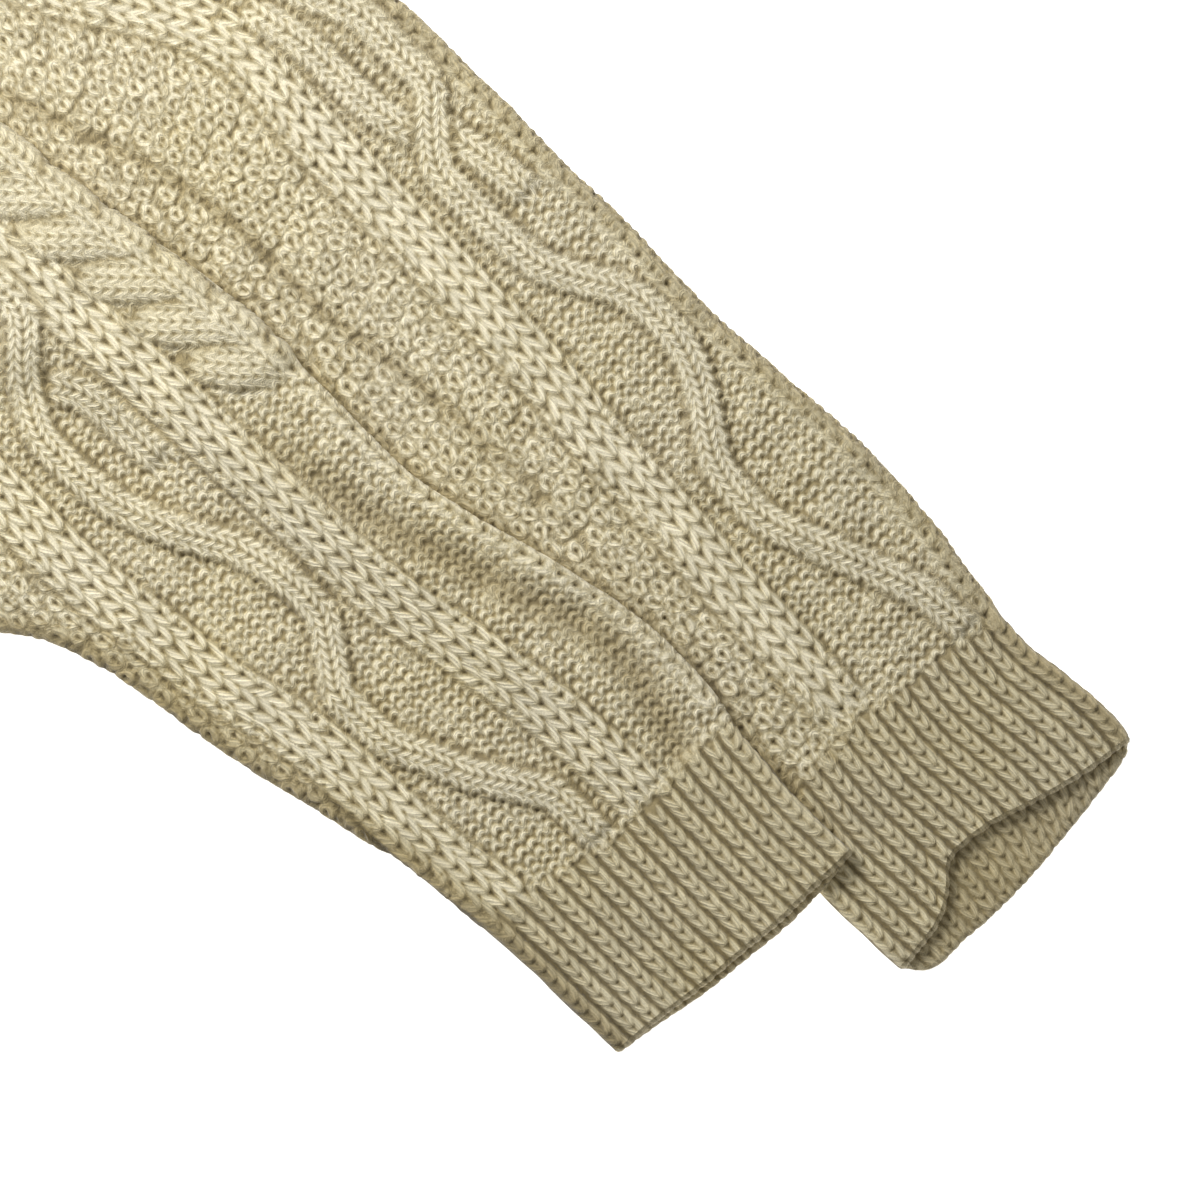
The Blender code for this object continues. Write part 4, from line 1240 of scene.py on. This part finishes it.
def neck_way(spacing):
    """The neckband's middle line round the folded neck: w, depth, x, z and turn."""
    corner, gap = HALF_NECK - 2, LAYER
    rows = []

    def straight(start, end, depth, side, level):
        """Runs from one w to another on a layer, on the upper side or the lower."""
        count = max(2, round(abs(end - start) / spacing))
        for w in np.linspace(start, end, count, endpoint=False):
            x = FOLD_X + w - FOLD_AT if side > 0 else FOLD_X + FOLD_AT - w
            rows.append((w, depth, x, CLOTH / 2 + level * gap, float(side)))

    def round_fold(depth, left, low, high, down):
        """Turns round the body's fold, downwards or upwards."""
        radius = (high - low) / 2
        angles = np.radians(np.linspace(96, 264, 15 if radius > 4 else 7))
        for angle in angles if down else angles[::-1]:
            x = left + radius + radius * math.cos(angle)
            w = FOLD_AT + math.copysign(x - FOLD_X, math.sin(angle))
            rows.append((w, depth, x, low + radius + radius * math.sin(angle), math.sin(angle)))

    def round_end(side, low):
        """Turns at a neck point, from the front to the back."""
        angles = np.radians(np.linspace(75, -75, 5))
        for angle in angles if side > 0 else angles[::-1]:
            x = FOLD_X + side * (corner - FOLD_AT) if side > 0 else FOLD_X + FOLD_AT + corner
            rows.append((side * corner, BACK_NECK_DEPTH, x + gap / 2 * math.cos(angle),
                         CLOTH / 2 + (low + 0.5) * gap + gap / 2 * math.sin(angle), float(side)))

    outer, inner = FOLD_X + CLOTH / 2, FOLD_X + LAYER + 1 + CLOTH / 2
    levels = [CLOTH / 2 + i * gap for i in range(4)]
    straight(corner, FOLD_AT + 3 * gap / 2 + 2, FRONT_NECK_DEPTH, 1, 3)
    round_fold(FRONT_NECK_DEPTH, outer, levels[0], levels[3], True)
    straight(FOLD_AT - 3 * gap / 2 - 2, -corner, FRONT_NECK_DEPTH, -1, 0)
    round_end(-1, 0)
    straight(-corner, FOLD_AT - 9, BACK_NECK_DEPTH, -1, 1)
    round_fold(BACK_NECK_DEPTH, inner, levels[1], levels[2], False)
    straight(FOLD_AT + 9, corner, BACK_NECK_DEPTH, 1, 2)
    round_end(1, 2)
    return np.array(rows)


NECK_SEAM, FOLD_SEAM = 0.9, 4.5  # gap from neck to band, along it and at its folds
BAND_UPRIGHT = 40.0  # length from the fold over which the band turns square to the neck


def build_neckband(material):
    """The ribbed band round the neck: its face, its round rim and its back."""
    w, depth, x, z, turn = neck_way(1.3).T
    slope = depth * NECK_CURVE * np.abs(w / HALF_NECK) ** (NECK_CURVE - 1) / HALF_NECK
    upright = smooth((x - FOLD_X - LAYER) / BAND_UPRIGHT)
    out_x = -np.copysign(slope / np.hypot(slope, 1), w) * turn * upright
    out_y = np.sqrt(1 - out_x ** 2)
    y = neckline(w, depth)
    way_x, way_z = np.roll(x, -1) - np.roll(x, 1), np.roll(z, -1) - np.roll(z, 1)
    span = np.hypot(way_x, way_z)
    face_x, face_z = way_z / span, -way_x / span
    walked = np.concatenate([[0], np.cumsum(np.hypot(np.diff(x), np.diff(z)))])

    half = CLOTH / 2 - 0.1
    end = NECKBAND - half
    seam = mix(FOLD_SEAM, NECK_SEAM, upright)
    rim = np.linspace(0, math.pi, 7)
    out = [mix(seam, end, part) for part in np.linspace(0, 0.9, 10)]
    out += [end + half * math.sin(angle) + 0 * seam for angle in rim]
    out += [mix(end, seam, part) for part in (0.35, 0.7, 1.0)]
    out = np.stack(out, axis=1)
    side = np.array([*np.ones(10), *np.cos(rim), *-np.ones(3)])
    wave = rib_wave(walked, NECK_RIB_PITCH)[:, None]
    ribs = RIB_RISE * wave * np.clip(side, 0, 1)[None] * np.minimum(1, (NECKBAND - out) / 3)
    lift = half * side[None] + ribs
    points = np.stack([x[:, None] + out_x[:, None] * out + lift * face_x[:, None],
                       y[:, None] + out_y[:, None] * out,
                       z[:, None] + lift * face_z[:, None]], axis=2)
    across = np.broadcast_to(walked[:, None] / NECK_RIB_PITCH * FINE_WALE, out.shape)
    # painted shade in the grooves between the band's ribs
    crease_shade = np.broadcast_to(0.45 * smooth(1 - wave * 3), out.shape)
    values = plain_values(lift, crease_shade, across, out, np.ones(out.shape))
    points = np.concatenate([points, points[:1]])
    values = {kind: np.concatenate([found, found[:1]]) for kind, found in values.items()}
    band = surface("neckband_knit", "neckband", points, values, True, material)


# ---------------------------------------------------------------- materials

# Noise cells to a metre: fibres 0.6 mm apart, coarser than real ones so that they show,
# clouds of tone 45 mm wide, and the floor's grain of 1.1 mm.
FIBRES, CLOUDS, GRAINS = 1700.0, 22.0, 900.0
PLY_DRAWN, STITCH_DRAWN = 2.1, 9.0  # how fast the drawn-out fibres change along both


def linear(code):
    """An sRGB hex colour as linear red, green and blue."""
    parts = [int(code[i:i + 2], 16) / 255 for i in (1, 3, 5)]
    return tuple(c / 12.92 if c <= 0.04045 else ((c + 0.055) / 1.055) ** 2.4 for c in parts)


def link(tree, node, links):
    """Gives a node's inputs, in order or by name, a constant or another node's result."""
    for socket, value in links.items() if isinstance(links, dict) else enumerate(links):
        if isinstance(value, bpy.types.NodeSocket):
            tree.links.new(value, node.inputs[socket])
        else:
            node.inputs[socket].default_value = value


def add_node(tree, kind, links, result=0, **settings):
    """Adds a node with its settings and links, and gives one of its results."""
    node = tree.nodes.new("ShaderNode" + kind)
    for name, value in settings.items():
        setattr(node, name, value)
    link(tree, node, links)
    return node.outputs[result]


def far_stitches(add):
    """Height from 0 to 1 of stitches on cloth whose points lie too far apart for them, which also
    sets their painted highlight and shade.
    """
    across, along, is_knit = (add("Attribute", {}, "Fac", attribute_name=name)
                              for name in ("across", "along", "knit"))
    column = add("Math", [across, FINE_WALE], operation="DIVIDE")
    column = add("Math", [column], operation="FRACT")
    middle = add("Math", [column, 0.5], operation="SUBTRACT")
    middle = add("Math", [middle], operation="ABSOLUTE")
    slant = add("Math", [middle, 1.1], operation="MULTIPLY")
    turn = add("Math", [along, KNIT_PITCH], operation="DIVIDE")
    turn = add("Math", [turn, slant], operation="SUBTRACT")
    turn = add("Math", [turn, 2 * math.pi], operation="MULTIPLY")
    leg = add("Math", [turn], operation="COSINE")
    leg = add("Math", [leg, 0.35, 0.65], operation="MULTIPLY_ADD")
    split = add("Math", [middle, 7.0], operation="MULTIPLY", use_clamp=True)
    edge = add("Math", [0.5, middle], operation="SUBTRACT")
    edge = add("Math", [edge, 7.0], operation="MULTIPLY", use_clamp=True)
    sides = add("Math", [split, edge], operation="MULTIPLY")
    knit = add("Math", [leg, sides], operation="MULTIPLY")
    over = add("Math", [across, 2 * math.pi / RINGS.across], operation="MULTIPLY")
    over = add("Math", [over], operation="SINE")
    up = add("Math", [along, 2 * math.pi / RINGS.along], operation="MULTIPLY")
    up = add("Math", [up], operation="SINE")
    moss = add("Math", [over, up], operation="MULTIPLY")
    moss = add("Math", [moss, 0.25, 0.72], operation="MULTIPLY_ADD")
    return add("Mix", {"Factor": is_knit, "A": moss, "B": knit}, "Result")


def new_material(name):
    """A material with its node tree, its shader and a function that adds a node to it."""
    material = bpy.data.materials.new(name)
    material.use_nodes = True
    tree = material.node_tree
    return material, tree, tree.nodes["Principled BSDF"], partial(add_node, tree)


def wool(yarn):
    """Undyed wool and cotton yarn, plied and hand-washed, knitted by machine.

    It is matt with a soft sheen from its fibres. Its gaps are deep and carry painted olive brown
    shade and its crests a painted highlight, each stitch differs a little in tone, and the plies
    show as fine slanting lines of relief and painted shade.
    """
    material, tree, shader, add = new_material(YARN_MATERIAL)
    place = add("TexCoord", {}, "Object")
    ply_place, tone, far, crest, crease_shade = (
        add("Attribute", {}, "Fac", attribute_name=name)
        for name in ("ply", "tone", "far", "crest", "crease_shade"))

    # Noise: the fibres, the same drawn out along the plies, and the cloth's large clouds.
    fibre = add("TexNoise", {"Vector": place, "Scale": FIBRES, "Detail": 3.0, "Roughness": 0.65},
                "Fac")
    lines = add("Math", [tone, STITCH_DRAWN], operation="MULTIPLY")
    lines = add("Math", [ply_place, PLY_DRAWN, lines], operation="MULTIPLY_ADD")
    lines = add("TexNoise", {"W": lines, "Scale": 1.0, "Detail": 1.5, "Roughness": 0.6},
                "Fac", noise_dimensions="1D")
    cloud = add("TexNoise", {"Vector": place, "Scale": CLOUDS, "Detail": 2.0}, "Fac")
    ply = add("Math", [ply_place, 2 * math.pi], operation="MULTIPLY")
    ply = add("Math", [ply], operation="SINE")

    # Colour from how high a point lies on its strand, and how deep in a crease: painted shade in
    # the gaps and creases, and a painted highlight on the crests.
    stitches = far_stitches(add)
    # the far stitches' height also sets painted highlight and shade
    crest = add("Mix", {"Factor": far, "A": crest, "B": stitches}, "Result")
    lit = add("Math", [1.0, crease_shade], operation="SUBTRACT", use_clamp=True)
    depth = add("Math", [crest, lit], operation="MULTIPLY", use_clamp=True)
    colour = add("ValToRGB", [depth])
    stops = ((0.0, yarn.gap), (0.34, yarn.shade), (0.76, yarn.body), (1.0, yarn.light))
    elements = colour.node.color_ramp.elements
    while len(elements) < len(stops):
        elements.new(0.5)
    for element, (position, shade) in zip(elements, stops):
        element.position = position
        element.color = (*shade, 1)

    # Tone from stitch to stitch, painted shade in the grooves between the plies, and tone from
    # fibre to fibre.
    lively = add("Math", [tone, yarn.stitch_contrast, 1.0], operation="MULTIPLY_ADD")
    plied = add("Math", [ply, yarn.ply_contrast, 1.0], operation="MULTIPLY_ADD")
    fuzzy = add("Math", [fibre, 0.5], operation="SUBTRACT")
    fuzzy = add("Math", [fuzzy, 0.85, 1.0], operation="MULTIPLY_ADD")
    hairy = add("Math", [lines, 0.5], operation="SUBTRACT")
    hairy = add("Math", [hairy, yarn.hair_contrast, 1.0], operation="MULTIPLY_ADD")
    value = add("Math", [lively, plied], operation="MULTIPLY")
    fine = add("Math", [fuzzy, hairy], operation="MULTIPLY")
    value = add("Math", [value, fine], operation="MULTIPLY")
    warmth = add("Math", [cloud, 0.3, 0.85], operation="MULTIPLY_ADD")
    colour = add("HueSaturation", {"Color": colour, "Value": value, "Saturation": warmth})

    # Relief of the plies and fibres, and of stitches that only the material has.
    fine = add("Math", [fibre, lines], operation="ADD")
    fine = add("Math", [ply, 0.5, fine], operation="MULTIPLY_ADD")
    relief = add("Bump", {"Strength": 0.6, "Distance": yarn.ply_depth, "Height": fine})
    raised = add("Math", [far, stitches], operation="MULTIPLY")
    relief = add("Bump", {"Strength": 1.0, "Distance": yarn.stitch_depth, "Height": raised,
                          "Normal": relief})
    link(tree, shader, {
        "Base Color": colour, "Normal": relief, "Roughness": yarn.roughness,
        "Specular IOR Level": 0.25, "Sheen Weight": yarn.sheen, "Sheen Roughness": 0.45})
    return material


def matt_floor(stage):
    """Matt white vinyl sweep: even, without gloss, and lit until it is nearly white."""
    material, tree, shader, add = new_material("matt_white_vinyl")
    place = add("TexCoord", {}, "Object")
    grain = add("TexNoise", {"Vector": place, "Scale": GRAINS}, "Fac")
    relief = add("Bump", {"Strength": 0.05, "Distance": 0.0001, "Height": grain})
    link(tree, shader, {
        "Normal": relief, "Base Color": (*stage.floor, 1), "Roughness": 0.9,
        "Emission Color": (1, 1, 1, 1), "Emission Strength": stage.floor_glow})
    return material


def yarn_material(context):
    """The yarn's material, made once for all pieces."""
    return bpy.data.materials.get(YARN_MATERIAL) or wool(context.scene.pullover_yarn)


# ---------------------------------------------------------------- settings


def colour(name, code, description):
    """A colour to set, from a hex code."""
    return FloatVectorProperty(name=name, description=description, subtype="COLOR", size=3,
                               min=0, max=1, default=linear(code))


def number(name, default, description, **more):
    """A number to set."""
    return FloatProperty(name=name, description=description, default=default, **more)


def length(name, default, description):
    """A length to set."""
    return number(name, default, description, unit="LENGTH", subtype="DISTANCE")


class PulloverYarn(bpy.types.PropertyGroup):
    """The yarn's colour, the painted highlight and shade on its stitches, and how it catches the
    light.
    """
    # Crest is a painted highlight, Shade and Gap are painted shade between stitches and in gaps,
    # Yarn is the yarn's own colour.
    light: colour("Crest", "#FAF0D1", "Yarn on the crest of a stitch")
    body: colour("Yarn", "#DBCFAA", "Yarn on the side of a stitch")
    shade: colour("Shade", "#B4A47B", "Yarn between stitches")
    gap: colour("Gap", "#665939", "Deepest yarn in a gap")
    roughness: number("Roughness", 0.82, "Roughness of the yarn", min=0, max=1)
    sheen: number("Sheen", 0.25, "Soft sheen of the fibres", min=0, max=1)
    ply_depth: length("Ply depth", 0.00035, "Height of the plies")
    stitch_depth: length("Stitch depth", 0.0009, "Height of stitches in the material")
    # ply contrast is painted shade in the grooves between plies
    ply_contrast: number("Ply contrast", 0.1, "Tone between the plies")
    hair_contrast: number("Fibre contrast", 0.9, "Tone between fibres")
    stitch_contrast: number("Stitch contrast", 0.08, "Tone from stitch to stitch")


class PulloverSleeves(bpy.types.PropertyGroup):
    """The sleeves' thickness."""
    height: length("Height", 0.0075, "Thickness of a flattened sleeve")
    wall: length("Wall", 0.0032, "Thickness of the knit at a cuff")
    rest: length("Rest", 0.008, "Height of the upper sleeve over the lower one")
    sides: IntProperty(name="Side points", description="Points round each edge of a sleeve",
                       default=12, min=4)


class PulloverBody(bpy.types.PropertyGroup):
    """The front and the back."""
    spacing: length("Spacing", 0.002, "Distance between points of the body's cloth")


class PulloverStage(bpy.types.PropertyGroup):
    """The floor, the view and the lights."""
    floor: colour("Floor", "#FAFAFA", "Colour of the floor")
    floor_glow: number("Glow", 0.85, "Light that the floor gives off")
    view_width: length("View width", 0.378, "Width of the view at the cloth")
    lens: number("Lens", 150.0, "Focal length of the camera", unit="CAMERA")
    key: number("Key light", 6.2, "Power of the soft key light")
    sky: number("Room light", 0.33, "Strength of the light from all round")


# ---------------------------------------------------------------- operators

# The stage, in metres.
FLOOR_SIZE, FLOOR_GAP = 4.0, 0.0003
VIEW_MIDDLE = Vector((0.1909, 0.0063, 0.008))
KEY_WAY, KEY_SIZE = Vector((-0.42, 0.48, 0.66)), 0.36
SENSOR = 36.0  # width of the camera's film in millimetres


class PULLOVER_OT_upper_sleeve(bpy.types.Operator):
    """Knit the sleeve that lies on top."""
    bl_idname = "pullover.upper_sleeve"
    bl_label = "Upper sleeve"

    def execute(self, context):
        build_sleeve(context, "sleeve_upper")
        return {"FINISHED"}


class PULLOVER_OT_lower_sleeve(bpy.types.Operator):
    """Knit the sleeve that lies on the floor."""
    bl_idname = "pullover.lower_sleeve"
    bl_label = "Lower sleeve"

    def execute(self, context):
        build_sleeve(context, "sleeve_lower")
        return {"FINISHED"}


class PULLOVER_OT_body(bpy.types.Operator):
    """Fold the front over the back."""
    bl_idname = "pullover.body"
    bl_label = "Front and back"

    def execute(self, context):
        material = yarn_material(context)
        spacing = context.scene.pullover_body.spacing / MM
        build_fold("front", 0.0, 3 * LAYER + CLOTH, FOLD_X, True, FRONT_NECK_DEPTH, front_form,
                   spacing, 0.0, material)
        build_fold("back", LAYER, 2 * LAYER + CLOTH, FOLD_X + LAYER + 1, False, BACK_NECK_DEPTH,
                   back_form, spacing, 70.0, material)
        return {"FINISHED"}


class PULLOVER_OT_neckband(bpy.types.Operator):
    """Run the ribbed band round the neck."""
    bl_idname = "pullover.neckband"
    bl_label = "Neckband"

    def execute(self, context):
        build_neckband(yarn_material(context))
        return {"FINISHED"}


class PULLOVER_OT_stage(bpy.types.Operator):
    """Lay the floor and set the lights and the camera."""
    bl_idname = "pullover.stage"
    bl_label = "Stage"

    def execute(self, context):
        stage = context.scene.pullover_stage
        scene = context.scene
        mesh = bmesh.new()
        bmesh.ops.create_grid(mesh, x_segments=2, y_segments=2, size=FLOOR_SIZE)
        bmesh.ops.translate(mesh, verts=mesh.verts, vec=(0, 0, -FLOOR_GAP))
        data = bpy.data.meshes.new("floor")
        mesh.to_mesh(data)
        mesh.free()
        data.materials.append(matt_floor(stage))
        floor = bpy.data.objects.new("floor", data)
        scene.collection.objects.link(floor)

        world = bpy.data.worlds.new("studio")
        world.use_nodes = True
        background = world.node_tree.nodes["Background"]
        background.inputs["Color"].default_value = (1, 1, 1, 1)
        background.inputs["Strength"].default_value = stage.sky
        scene.world = world

        lamp = bpy.data.lights.new("key", "AREA")
        lamp.shape = "DISK"
        lamp.size = KEY_SIZE
        lamp.energy = stage.key
        key = bpy.data.objects.new("key", lamp)
        key.location = VIEW_MIDDLE + KEY_WAY
        key.rotation_euler = (-KEY_WAY).to_track_quat("-Z", "Y").to_euler()
        key.visible_camera = False
        scene.collection.objects.link(key)

        camera = bpy.data.cameras.new("camera")
        camera.lens = stage.lens
        camera.sensor_width = SENSOR
        camera.clip_end = 100.0
        viewer = bpy.data.objects.new("camera", camera)
        viewer.location = VIEW_MIDDLE + Vector((0, 0, stage.view_width * stage.lens / SENSOR))
        scene.collection.objects.link(viewer)
        scene.camera = viewer
        scene.view_settings.view_transform = "Standard"
        return {"FINISHED"}


class PULLOVER_PT_panel(bpy.types.Panel):
    """Lists the pieces in the sidebar."""
    bl_label = "Pullover"
    bl_space_type = "VIEW_3D"
    bl_region_type = "UI"
    bl_category = "Pullover"

    def draw(self, context):
        for operator in OPERATORS:
            self.layout.operator(operator.bl_idname)


GROUPS = {
    "pullover_yarn": PulloverYarn,
    "pullover_sleeves": PulloverSleeves,
    "pullover_body": PulloverBody,
    "pullover_stage": PulloverStage,
}
OPERATORS = [PULLOVER_OT_body, PULLOVER_OT_neckband, PULLOVER_OT_lower_sleeve,
             PULLOVER_OT_upper_sleeve, PULLOVER_OT_stage]


def register():
    for item in [*GROUPS.values(), *OPERATORS, PULLOVER_PT_panel]:
        bpy.utils.register_class(item)
    for name, group in GROUPS.items():
        setattr(bpy.types.Scene, name, PointerProperty(type=group))


def unregister():
    for name in GROUPS:
        delattr(bpy.types.Scene, name)
    for item in [PULLOVER_PT_panel, *OPERATORS[::-1], *reversed(GROUPS.values())]:
        bpy.utils.unregister_class(item)


def main():
    register()
    bpy.ops.pullover.body()
    bpy.ops.pullover.neckband()
    bpy.ops.pullover.lower_sleeve()
    bpy.ops.pullover.upper_sleeve()
    bpy.ops.pullover.stage()
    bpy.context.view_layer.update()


if __name__ == "__main__":
    main()
